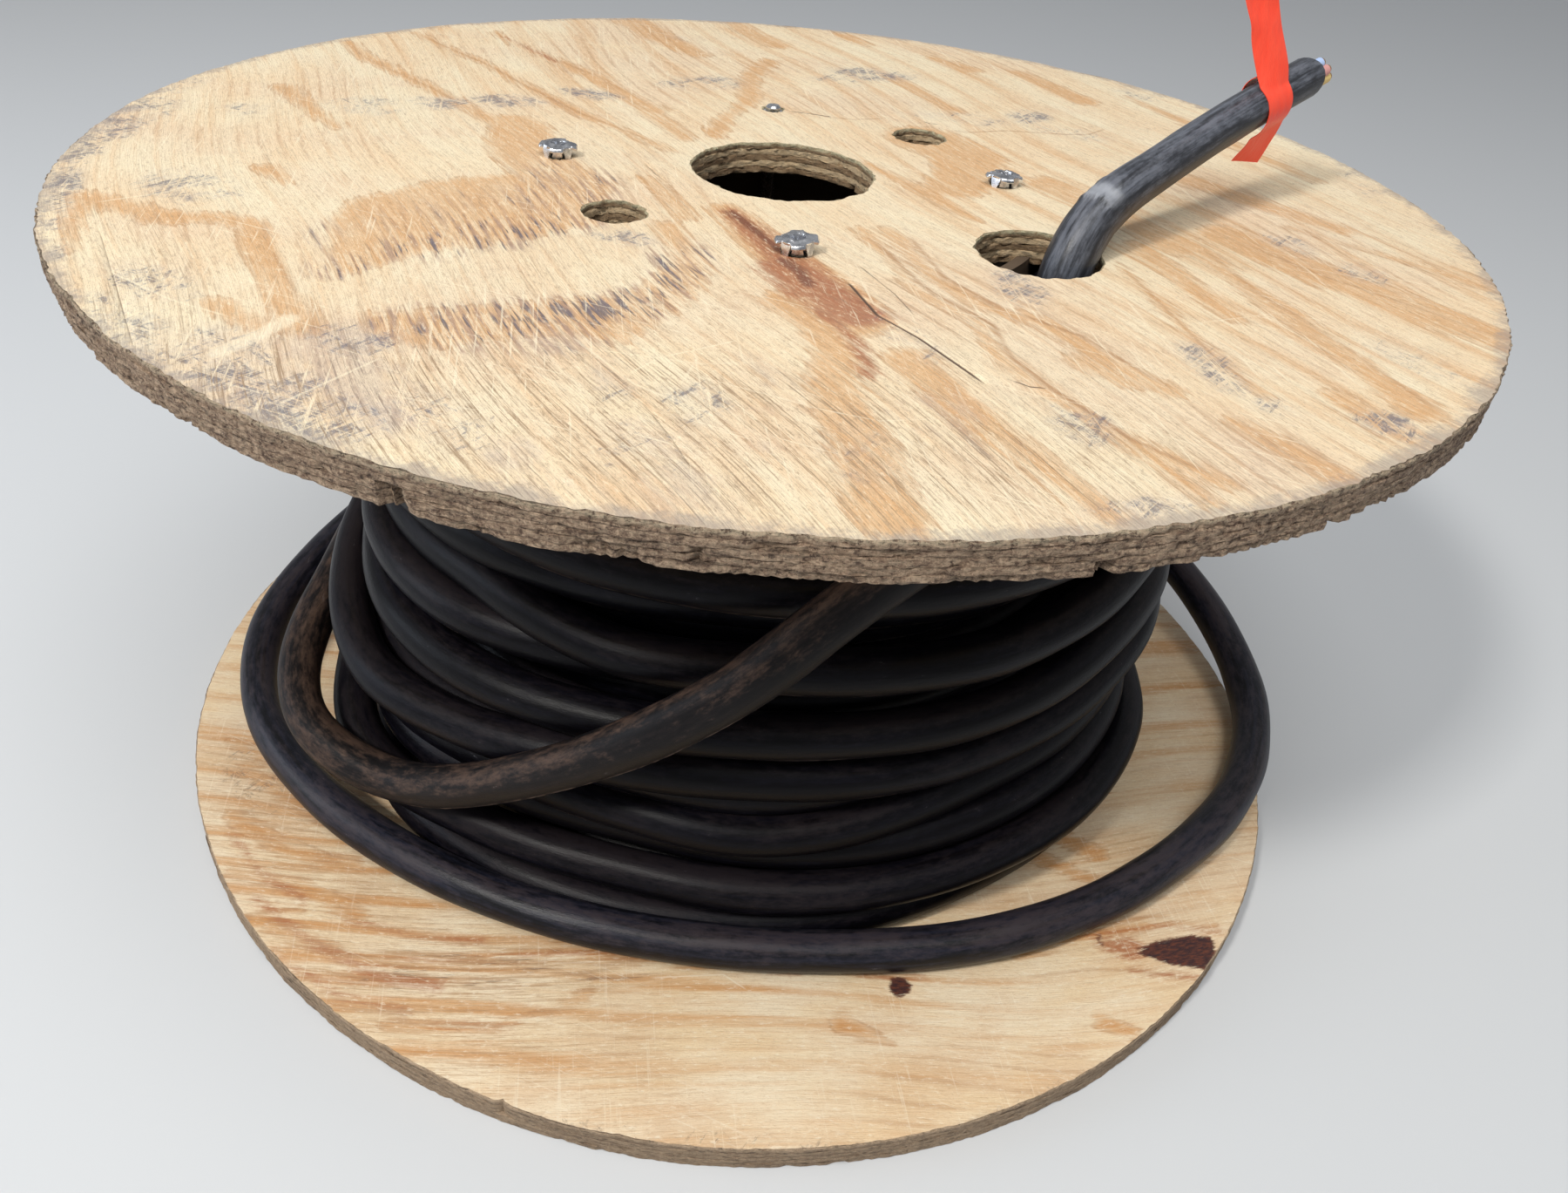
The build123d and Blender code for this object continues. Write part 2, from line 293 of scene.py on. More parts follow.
def flange(name, bottom, holes, wear, seed, spacing, rim_chips, grain, marks, lines, dents):
    """One plywood disc. Its grain, and the marks on its upper face, are held as named values.
    Its finishes are those of its upper face, its rim, its lower face and its holes, in that order."""
    centres = [(0.0, 0.0)] + [place for place, _ in holes]
    walls = [ply_wall((0.0, 0.0), flange_radius, 1, bottom, wear, seed, rim_chips)]
    for number, (place, radius) in enumerate(holes):
        walls.append(ply_wall(place, radius, -1, bottom, wear, seed + 300 + 31 * number))
    corners, faces, finishes, upper = [], [], [], []
    total = 0
    for wall, side in zip(walls, [1] + [-1] * len(holes)):
        count = len(wall[0])
        corners.append(np.concatenate(wall))
        upper.append(np.zeros(count * len(wall)))
        quads = ring_faces(len(wall), count, total)
        faces += (quads if side > 0 else quads[:, ::-1]).tolist()
        finishes += [1 if side > 0 else 3] * len(quads)
        total += count * len(wall)
    thin = [(width, line) for kind in lines.values() for width, _, line in kind]
    inner = flange_radius - rim_margin
    for is_top in (False, True):
        rings = [wall[-1 if is_top else 0] for wall in walls]
        loose = hex_points(spacing if is_top else underside_spacing, inner)
        if is_top:
            beside = []
            for width, line in thin:
                loose = loose[near_line(loose, line)[0] > width / per_metre + line_margin]
                route = np.array(line, float) / per_metre
                for start, end in zip(route, route[1:]):
                    run = end - start
                    length = np.hypot(*run)
                    normal = np.array([-run[1], run[0]]) / length * width / per_metre
                    for share in np.arange(0, 1, line_spacing / length):
                        on_line = start + share * run
                        beside += [on_line + normal * aside for aside in (-0.8, -0.35, 0, 0.35, 0.8)]
            loose = np.concatenate([loose, np.array(beside)]) if beside else loose
        loose = loose[np.hypot(loose[:, 0], loose[:, 1]) < inner]
        for place, radius in holes:
            away = np.hypot(loose[:, 0] - place[0], loose[:, 1] - place[1])
            loose = loose[away > radius + hole_margin]
        places, triangles = face_triangles(rings, centres, loose)
        level = np.full(len(places), bottom + (flange_thickness if is_top else 0))
        if is_top:
            for width, depth, line in dents:
                away, along = near_line(places, line)
                taper = smooth(along / 0.1) * smooth((1 - along) / 0.1)
                level -= depth * np.clip(1 - away / (width / 2 / per_metre), 0, 1) * taper
        corners.append(np.column_stack([places, level]))
        upper.append(np.full(len(places), 1.0 if is_top else 0.0))
        faces += ((triangles if is_top else triangles[:, ::-1]) + total).tolist()
        finishes += [0 if is_top else 2] * len(triangles)
        total += len(places)
    corners = np.concatenate(corners)
    upper = np.concatenate(upper)
    disc = mesh_piece(name, corners, faces, crease=38)
    disc.data.polygons.foreach_set("material_index", finishes)
    for mark, cover in marks.items():
        hold(disc, mark, cover(corners[:, :2]) * upper)
    for kind, some in lines.items():
        hold(disc, kind, fine_lines(corners[:, :2], some) * upper)
    along, across = grain(corners[:, 0], corners[:, 1])
    hold(disc, "grain", np.column_stack([along, across, corners[:, 2]]))
    return disc


class Finish:
    """A material's node tree, with short ways to add nodes to it."""

    def __init__(self, name, roughness, metallic=0.0):
        self.material = bpy.data.materials.new(name)
        self.material.use_nodes = True
        self.tree = self.material.node_tree
        self.shader = self.tree.nodes["Principled BSDF"]
        self.shader.inputs["Roughness"].default_value = roughness
        self.shader.inputs["Metallic"].default_value = metallic
        self.place = self.node("TexCoord").outputs["Object"]
        self.paint = None

    def node(self, kind, inputs=None, **settings):
        made = self.tree.nodes.new("ShaderNode" + kind)
        for key, value in settings.items():
            setattr(made, key, value)
        for socket, value in (inputs or {}).items():
            self.feed(made.inputs[socket], value)
        return made

    def feed(self, socket, value):
        if isinstance(value, bpy.types.NodeSocket):
            self.tree.links.new(value, socket)
        else:
            socket.default_value = value

    def calc(self, operation, *values, clamp=False):
        return self.node("Math", dict(enumerate(values)), operation=operation, use_clamp=clamp).outputs[0]

    def times(self, first, second, clamp=False):
        return self.calc("MULTIPLY", first, second, clamp=clamp)

    def add(self, *values):
        """Sum of several values, each alone or with its weight."""
        total = None
        for value in values:
            part = self.times(*value) if isinstance(value, tuple) else value
            total = part if total is None else self.calc("ADD", total, part)
        return total

    def noise(self, scale, detail=3.0, roughness=0.55, turn=0.0, place=None, shift=(0, 0, 0)):
        """Noise over places that are turned back by an angle and scaled, so that it runs along their X."""
        turned = place or self.place
        if turn:
            back = {"Vector": turned, "Angle": -turn}
            turned = self.node("VectorRotate", back, rotation_type="Z_AXIS").outputs[0]
        spread = self.node("Mapping", {"Vector": turned, "Scale": scale, "Location": shift}).outputs[0]
        values = {"Vector": spread, "Scale": 1.0, "Detail": detail, "Roughness": roughness}
        return self.node("TexNoise", values).outputs[0]

    def step(self, value, low, high):
        values = {"Value": value, "From Min": low, "From Max": high}
        return self.node("MapRange", values, interpolation_type="SMOOTHSTEP").outputs[0]

    def mix(self, share, first, second):
        return self.node("Mix", {"Factor": share, 6: first, 7: second}, data_type="RGBA").outputs[2]

    def coat(self, share, colour, most=None):
        """Lays a colour over the paint so far, by a share, or by that times most."""
        share = share if most is None else self.times(share, most)
        self.paint = self.mix(share, self.paint, colour)

    def mark(self, name):
        return self.node("Attribute", attribute_name=name).outputs["Fac"]

    def colour(self, value):
        self.feed(self.shader.inputs["Base Color"], value)

    def rough(self, value):
        self.feed(self.shader.inputs["Roughness"], value)

    def bump(self, height, depth, strength=1.0):
        """Bump of that depth in metres where the height goes from 0 to 1."""
        made = self.node("Bump", {"Height": height, "Distance": depth, "Strength": strength}).outputs[0]
        self.feed(self.shader.inputs["Normal"], made)


def veneer(name, tints, amounts):
    """Face veneer peeled off a log: long fibres, figure with frayed, combed borders, scuffs and dirt."""
    made = Finish(name, 0.7)
    grain = made.node("Attribute", attribute_name="grain").outputs["Vector"]
    # Noise that runs along the grain, then noise of rubbing and scratches across it.
    sway = made.noise((1.6, 5.0, 1.0), 2.0, place=grain)
    fibres = made.noise((60.0, 1500.0, 60.0), 4.0, 0.75, place=grain)
    streaks = made.noise((11.0, 300.0, 20.0), 5.0, 0.68, place=grain)
    comb = made.noise((55.0, 560.0, 10.0), 2.0, 0.6, place=grain, shift=(3, 7, 0))
    teeth = made.noise((30.0, 430.0, 10.0), 3.0, 0.6, place=grain, shift=(1, 5, 0))
    hairs = made.noise((26.0, 1150.0, 30.0), 4.0, 0.7, place=grain, shift=(6, 3, 0))
    cloud = made.noise((12.0, 26.0, 4.0), 6.0, 0.62, place=grain)
    mottle = made.noise((230.0, 700.0, 60.0), 5.0, 0.75, place=grain)
    speck = made.noise((800.0, 1500.0, 90.0), 2.0, 0.6, place=grain)
    smudge = made.noise((45.0, 70.0, 20.0), 6.0, 0.72, turn=0.6)
    wide = made.noise((9.0, 12.0, 5.0), 4.0, 0.6, turn=0.4)
    scuff = made.noise((70.0, 300.0, 30.0), 6.0, 0.78, turn=1.05, shift=(2, 8, 0))
    rub = made.noise((60.0, 280.0, 30.0), 6.0, 0.78, turn=-0.75, shift=(5, 1, 0))
    scratch = made.noise((17.0, 800.0, 30.0), 4.0, 0.6, turn=0.9)
    graze = made.noise((20.0, 900.0, 30.0), 4.0, 0.6, turn=-0.35, shift=(9, 0, 0))
    scrape = made.noise((24.0, 700.0, 30.0), 4.0, 0.6, turn=1.75, shift=(4, 2, 0))
    # Growth rings and figure, over pale wood.
    across = made.node("SeparateXYZ", {0: grain}).outputs[1]
    wave = made.calc("SINE", made.add((across, 2 * math.pi / amounts["pitch"]), (sway, 40.0)))
    bands = made.step(made.add(wave, (streaks, 1.6), -0.8), 0.1, 1.2)
    bands = made.times(bands, made.mark("bands"))
    rings = made.calc("SINE", made.add((across, 2 * math.pi / 0.0085), (sway, 95.0), (cloud, 5.0)))
    ringed = made.step(made.add((wide, 0.6), (cloud, 0.4)), 0.46, 0.6)
    rings = made.times(made.step(rings, 0.55, 1.0), ringed)
    frayed = made.add(made.mark("figure"), (streaks, 0.5), (teeth, 0.3), (cloud, 0.5), -0.65)
    figure = made.step(frayed, 0.38, 0.70)
    ripe = made.calc("MAXIMUM", bands, figure, clamp=True)
    depth = made.times(ripe, made.add((streaks, 1.0), (cloud, 0.9), (comb, 0.6), -0.45), clamp=True)
    pale = made.mix(made.step(cloud, 0.34, 0.66), tints["pale"], tints["warm"])
    pale = made.mix(made.times(made.step(wide, 0.42, 0.66), 0.5), pale, tints["dull"])
    made.paint = pale
    made.coat(depth, tints["figure"])
    made.coat(rings, tints["brown"], amounts["ringed"])
    edge = made.step(made.calc("ABSOLUTE", made.add(frayed, -0.5)), 0.07, 0.0)
    edge = made.times(edge, made.step(streaks, 0.40, 0.6))
    made.coat(edge, tints["brown"], 0.5)
    made.coat(made.step(streaks, 0.46, 0.72), tints["figure"], 0.34)
    brown = made.times(made.mark("brown_line"), made.add((streaks, 1.6), (cloud, 0.6), -0.45), clamp=True)
    made.coat(brown, tints["brown"])
    # Red and dark heartwood, and figure that frays into dashes.
    red = made.step(made.add(made.mark("red"), (streaks, 0.8), (mottle, 0.35), -0.58), 0.36, 0.78)
    red = made.times(red, made.add((mottle, 1.2), (streaks, 0.6), -0.1), clamp=True)
    made.coat(red, tints["red"])
    core = made.step(made.add(made.mark("core"), (streaks, 0.8), (mottle, 0.5), -0.65), 0.4, 0.7)
    made.coat(core, tints["core"], 0.85)
    near = made.step(made.mark("dash"), 0.02, 0.45)
    lit = made.times(made.step(teeth, 0.48, 0.40), made.times(near, 0.42))
    made.coat(lit, tints["bare"])
    haze = made.times(made.step(teeth, 0.47, 0.60), made.times(near, 0.75))
    made.coat(haze, tints["haze"])
    dashes = made.add((comb, 0.6), (teeth, 0.4), (made.mark("dash"), 0.10))
    dashes = made.times(made.step(dashes, 0.60, 0.68), near)
    made.coat(dashes, tints["soot"], 0.75)
    # Grey dirt and rubbed scuffs, with scratches through them.
    clean = made.calc("MAXIMUM", made.step(scratch, 0.55, 0.64), made.step(scrape, 0.55, 0.63))
    clean = made.calc("MAXIMUM", clean, made.step(graze, 0.56, 0.64))
    keep = made.calc("SUBTRACT", 1.0, made.times(clean, 0.8))
    wash = made.times(made.mark("grey"), made.add((smudge, 2.4), (mottle, 0.7), -1.2), clamp=True)
    made.coat(made.times(wash, keep), tints["grey"], 0.62)
    rubbed = made.calc("MAXIMUM", scuff, rub)
    rubbed = made.add((rubbed, 0.75), (smudge, 0.45), (made.mark("grey"), 0.12))
    rubbed = made.times(made.step(rubbed, 0.70, 0.79), made.step(made.mark("grey"), 0.03, 0.5))
    made.coat(made.times(rubbed, keep), tints["soot"], 0.72)
    # Pores, and pale marks where the surface is scored.
    open_grain = made.mark("pores")
    lines = made.times(made.step(hairs, 0.53, 0.64), made.add((open_grain, 0.75), 0.12))
    made.coat(lines, tints["pore"])
    lines = made.times(made.step(fibres, 0.50, 0.75), made.add((open_grain, 0.5), 0.45), clamp=True)
    made.coat(lines, tints["pore"])
    mottled = made.times(made.step(mottle, 0.52, 0.70), made.add((open_grain, 0.25), amounts["mottled"]))
    made.coat(mottled, tints["pore"])
    greyed = made.times(made.step(cloud, 0.50, 0.62), made.times(open_grain, 0.22))
    made.coat(greyed, tints["grey"])
    made.coat(made.step(speck, 0.56, 0.70), tints["pore"], amounts["mottled"])
    made.coat(made.step(mottle, 0.46, 0.32), tints["bare"], 0.5)
    pale_marks = made.calc("MAXIMUM", made.step(scrape, 0.60, 0.68), made.step(graze, 0.38, 0.31))
    pale_marks = made.times(pale_marks, made.step(wide, 0.40, 0.56))
    made.coat(pale_marks, tints["bare"], amounts["scratched"])
    scored = made.step(made.add(made.mark("scored"), (mottle, 0.9), (smudge, 0.6), -0.75), 0.2, 0.6)
    made.coat(scored, tints["bare"], 0.5)
    # Knots, grime beside the rim, and cracks.
    knots = made.step(made.add(made.mark("knot"), (mottle, 0.5), (streaks, 0.3), -0.4), 0.42, 0.6)
    made.coat(knots, made.mix(made.step(mottle, 0.4, 0.65), tints["knot"], tints["core"]))
    rim_dirt = made.add((made.mark("rim"), 0.36), (smudge, 0.7), (mottle, 0.3))
    rim_dirt = made.times(made.step(rim_dirt, 0.68, 0.90), made.step(made.mark("rim"), 0.0, 0.5))
    made.coat(rim_dirt, tints["grime"], 0.6)
    cracks = made.step(made.add(made.mark("crack"), (comb, 0.25), -0.12), 0.25, 0.75)
    made.coat(cracks, tints["crack"])
    made.colour(made.paint)
    made.rough(made.add((streaks, 0.18), (wash, -0.08), amounts["roughness"]))
    raised = made.add((fibres, 0.5), (streaks, 0.8), (mottle, 0.7), (speck, 0.2))
    made.bump(made.add(raised, (dashes, -0.5), (core, -0.5)), amounts["relief"], 0.9)
    return made.material


def ply_edge(name, bottom, light, middle, dark, banded=0.0, crumbled=1.0):
    """Sawn edge of the plies: long grain and end grain in turn, torn fibres and open pits. banded is how
    much darker every second ply is, and crumbled how coarsely torn the edge is."""
    made = Finish(name, 0.88)
    level = made.node("SeparateXYZ", {0: made.place}).outputs[2]
    uneven = made.noise((14.0, 14.0, 40.0), 4.0)
    plies = made.times(made.calc("SUBTRACT", level, bottom), ply_count / flange_thickness)
    plies = made.add(plies, (uneven, 0.7), -0.35)
    glue = made.step(made.calc("PINGPONG", plies, 0.5), 0.09, 0.0)
    glue = made.times(glue, made.step(uneven, 0.3, 0.6))
    turned = made.step(made.calc("SINE", made.times(plies, math.pi)), -0.3, 0.3)
    along = made.noise((120.0, 120.0, 1300.0), 5.0, 0.78)
    ends = made.noise((700.0, 700.0, 220.0), 4.0, 0.75)
    fuzz = made.noise((330.0, 330.0, 700.0), 6.0, 0.8)
    crumbs = made.noise((430.0, 430.0, 620.0), 6.0, 0.82)
    grain = made.mix(turned, along, ends)
    grain = made.add((grain, 0.35), (fuzz, 0.9), -0.08)
    made.paint = middle
    made.coat(made.step(grain, 0.46, 0.72), light)
    made.coat(made.step(uneven, 0.45, 0.75), dark, 0.4)
    made.coat(turned, dark, banded)
    top_ply = made.times(made.step(plies, 4.25, 4.75), made.step(fuzz, 0.35, 0.55))
    made.coat(top_ply, (*[min(c * 1.2, 0.85) for c in light[:3]], 1), 0.55)
    made.coat(made.step(crumbs, 0.51, 0.60), light, 0.8 * crumbled)
    made.coat(made.step(crumbs, 0.485, 0.40), dark, 0.9 * crumbled)
    pits = made.step(made.add((fuzz, 0.6), (along, 0.5)), 0.575, 0.68)
    made.coat(pits, (*[c * 0.4 for c in dark[:3]], 1), 0.6)
    made.coat(glue, (*[c * 0.5 for c in dark[:3]], 1), 0.5)
    made.colour(made.paint)
    height = made.add((grain, 1.1), (crumbs, 0.9), (glue, -0.4), (pits, -0.7))
    made.bump(height, 0.0012 + 0.0012 * crumbled, 1.0)
    return made.material


worn_veneer = veneer(
    "worn_veneer",
    {
        "pale": (0.86, 0.745, 0.53, 1), "warm": (0.84, 0.66, 0.435, 1), "dull": (0.77, 0.58, 0.41, 1),
        "figure": (0.68, 0.40, 0.19, 1), "brown": (0.40, 0.20, 0.085, 1), "red": (0.38, 0.13, 0.055, 1),
        "core": (0.16, 0.045, 0.022, 1), "grey": (0.30, 0.33, 0.41, 1), "soot": (0.09, 0.10, 0.15, 1),
        "haze": (0.38, 0.24, 0.18, 1), "pore": (0.33, 0.22, 0.13, 1), "bare": (0.93, 0.82, 0.61, 1),
        "grime": (0.30, 0.26, 0.24, 1), "knot": (0.04, 0.016, 0.014, 1), "crack": (0.11, 0.07, 0.05, 1),
    },
    {
        "pitch": 0.031, "scratched": 0.55, "roughness": 0.58, "relief": 0.0006, "mottled": 0.42,
        "ringed": 0.34,
    },
)
fresh_veneer = veneer(
    "fresh_veneer",
    {
        "pale": (0.87, 0.735, 0.53, 1), "warm": (0.83, 0.64, 0.40, 1), "dull": (0.69, 0.46, 0.27, 1),
        "figure": (0.62, 0.30, 0.10, 1), "brown": (0.38, 0.17, 0.06, 1), "red": (0.42, 0.15, 0.06, 1),
        "core": (0.14, 0.04, 0.02, 1), "grey": (0.40, 0.31, 0.24, 1), "soot": (0.10, 0.07, 0.06, 1),
        "haze": (0.40, 0.22, 0.11, 1), "pore": (0.48, 0.29, 0.15, 1), "bare": (0.95, 0.86, 0.68, 1),
        "grime": (0.32, 0.22, 0.14, 1), "knot": (0.035, 0.012, 0.014, 1), "crack": (0.08, 0.04, 0.03, 1),
    },
    {
        "pitch": 0.024, "scratched": 0.3, "roughness": 0.44, "relief": 0.0004, "mottled": 0.24,
        "ringed": 0.30,
    },
)
worn_edge = ply_edge(
    "worn_ply_edge", drum_height - flange_thickness,
    (0.82, 0.61, 0.42, 1), (0.38, 0.25, 0.165, 1), (0.10, 0.055, 0.035, 1),
)
bored_edge = ply_edge(
    "bored_ply_edge", drum_height - flange_thickness,
    (0.90, 0.72, 0.47, 1), (0.74, 0.54, 0.32, 1), (0.25, 0.145, 0.07, 1), 0.8, 0.25,
)
fresh_edge = ply_edge(
    "fresh_ply_edge", 0.0, (0.66, 0.49, 0.33, 1), (0.44, 0.31, 0.20, 1), (0.22, 0.14, 0.09, 1), 0.1, 0.5,
)

hole_places = [((0.0, 0.0), arbor_radius)]
hole_places += [(place, drive_hole_radius) for place in drive_places]
hole_places += [(place, bolt_hole_radius) for place in bolt_places]


def fresh_grain(x, y):
    """Fibres that run across the drum and lift a little to the right."""
    return x + 0.06 * y, y - 0.07 * x - 0.35 * np.maximum(x, 0) ** 2 + 0.004 * np.sin(x * 21 + y * 9)


# The marks on the bottom flange's upper face, in millimetres: each gives its cover of places on that face.
wide_knot = [(203, -184), (216, -177), (234, -171), (247, -171), (243, -184), (237, -191), (220, -190)]
round_knot = [(84, -213), (89, -211), (94, -215), (92, -221), (86, -224), (83, -219)]
fresh_marks = {
    "bands": lambda p: 0.25 + 0.6 * patches(p, [
        # The two front-left patches are laid stronger than the figure alone: partly figure, partly painted
        # shade.
        (-60, -225, 300, 60, 5, 1), (-205, -185, 200, 110, -42, 1.3), (-150, -225, 200, 90, -25, 1.6),
        (230, 60, 160, 200, 20, 1), (-260, 0, 80, 400, 0, 0.8),
    ]),
    "figure": lambda p: border(p, [], [
        (5, 9, [(-169, -231), (-138, -226), (-103, -221), (-69, -214), (-34, -211), (0, -211)]),
        (4, 5, [(-182, -242), (-131, -238), (-90, -228)]),
        (3, 6, [(-138, -262), (-96, -259), (-55, -238)]), (2, 2, [(-224, -211), (-196, -204)]),
        (4, 3, [(-210, -231), (-185, -226)]), (8, 4, [(148, -190), (186, -175), (220, -165), (248, -163)]),
        (9, 6, [(180, -225), (196, -232)]), (12, 4, [(62, -240), (84, -248)]),
        (16, 10, [(150, -100), (175, -108), (196, -122)]), (10, 8, [(165, -128), (190, -140)]),
        (14, 8, [(205, -70), (222, -30), (232, 20)]), (10, 16, [(-262, -60), (-240, -90), (-214, -120)]),
        (8, 10, [(-250, -150), (-215, -168), (-180, -176)]),
        (7, 9, [(-256, -118), (-226, -134), (-196, -146)]),
        (6, 9, [(-236, -186), (-200, -190), (-168, -204)]),
        (5, 7, [(-206, -216), (-180, -222), (-150, -240)]), (6, 4, [(-270, -96), (-246, -108)]),
    ]),
    "red": lambda p: border(p, [], [
        (2, 6, [(-150, -229), (-103, -222), (-69, -215), (-34, -212), (0, -212), (40, -213)]),
        (3, 3, [(160, -184), (186, -174), (225, -166), (250, -166)]), (1, 2, [(-180, -242), (-140, -240)]),
        (3, 4, [(70, -212), (84, -212), (99, -209)]), (8, 16, [(186, -180), (202, -182)]),
        (4, 4, [(200, -196), (232, -196)]), (1, 3, [(-120, -260), (-84, -256)]),
        (4, 9, [(-218, -200), (-186, -221), (-152, -236), (-122, -240)]),
        (3, 6, [(-172, -208), (-140, -213), (-108, -212)]),
        (3, 6, [(-200, -230), (-162, -249), (-132, -253)]),
        (3, 5, [(-246, -160), (-222, -184), (-196, -198)]),
    ], 0.016),
    "core": lambda p: 0.75 * patches(p, [(188, -179, 6, 9, 0, 1), (-100, -222, 40, 3, 8, 0.5)]),
    "grey": lambda p: patches(p, [
        # The first patch, at the left front, is a brown-grey wash of painted shade.
        (-250, -120, 90, 40, -60, 0.35), (160, -262, 90, 12, 24, 0.35), (0, -300, 200, 8, 0, 0.4),
    ]),
    "dash": lambda p: 0.3 * patches(p, [(-100, -228, 160, 30, 7, 1)]),
    "knot": lambda p: np.maximum(
        border(p, [wide_knot], [], 0.012), border(p, [round_knot], [], 0.010),
    ) + 0.6 * patches(p, [
        (-112, -244, 3.4, 3.4, 0, 1), (121, -219, 2.5, 2.5, 0, 1), (166, -231, 2.5, 2.5, 0, 1),
    ]),
    "rim": lambda p: 0.5 * smooth((np.hypot(p[:, 0], p[:, 1]) - 0.299) / 0.006),
    # Darker pores at the front left: partly open grain, partly painted shade.
    "pores": lambda p: 0.8 * patches(p, [(-210, -190, 200, 120, -45, 1), (-130, -235, 220, 80, -25, 1)]),
}
fresh_lines = {
    "brown_line": [
        (2, 0.7, [(-226, -212), (-210, -207), (-194, -203)]),
        (1.6, 0.6, [(-216, -160), (-190, -170), (-170, -172)]),
        (2, 0.6, [(148, -205), (180, -197), (205, -195), (232, -198)]),
        (2, 0.6, [(176, -172), (196, -164), (230, -160)]),
    ],
    "crack": [(0.7, 0.3, [(-60, -262), (-38, -260), (-20, -258)])],
    "scored": [(1.2, 0.6, [(-30, -225), (6, -219), (20, -228)]), (1.0, 0.5, [(90, -238), (120, -230)])],
}
bottom_disc = flange(
    "bottom_flange_ply", 0.0, hole_places, 0.5, 5, 0.0035,
    [(-105.5, 0.004, 0.0016, 2, 4)], fresh_grain, fresh_marks, fresh_lines, [],
)
fit_piece(bottom_disc, "bottom_flange", "fresh_plywood", fresh_veneer, fresh_edge, fresh_veneer, fresh_edge)


def worn_grain(x, y):
    """Fibres that run down to the right, less steeply at the back and the left."""
    turn = math.radians(-60)
    across = -x * math.sin(turn) + y * math.cos(turn)
    along = x * math.cos(turn) + y * math.sin(turn)
    bend = 0.30 * np.minimum(x + 0.02, 0) * (y + 0.05) + 0.22 * np.maximum(x, 0) * np.minimum(y, 0) * 0.3
    return along, across + bend + 0.0035 * np.sin(along * 26 + across * 12)


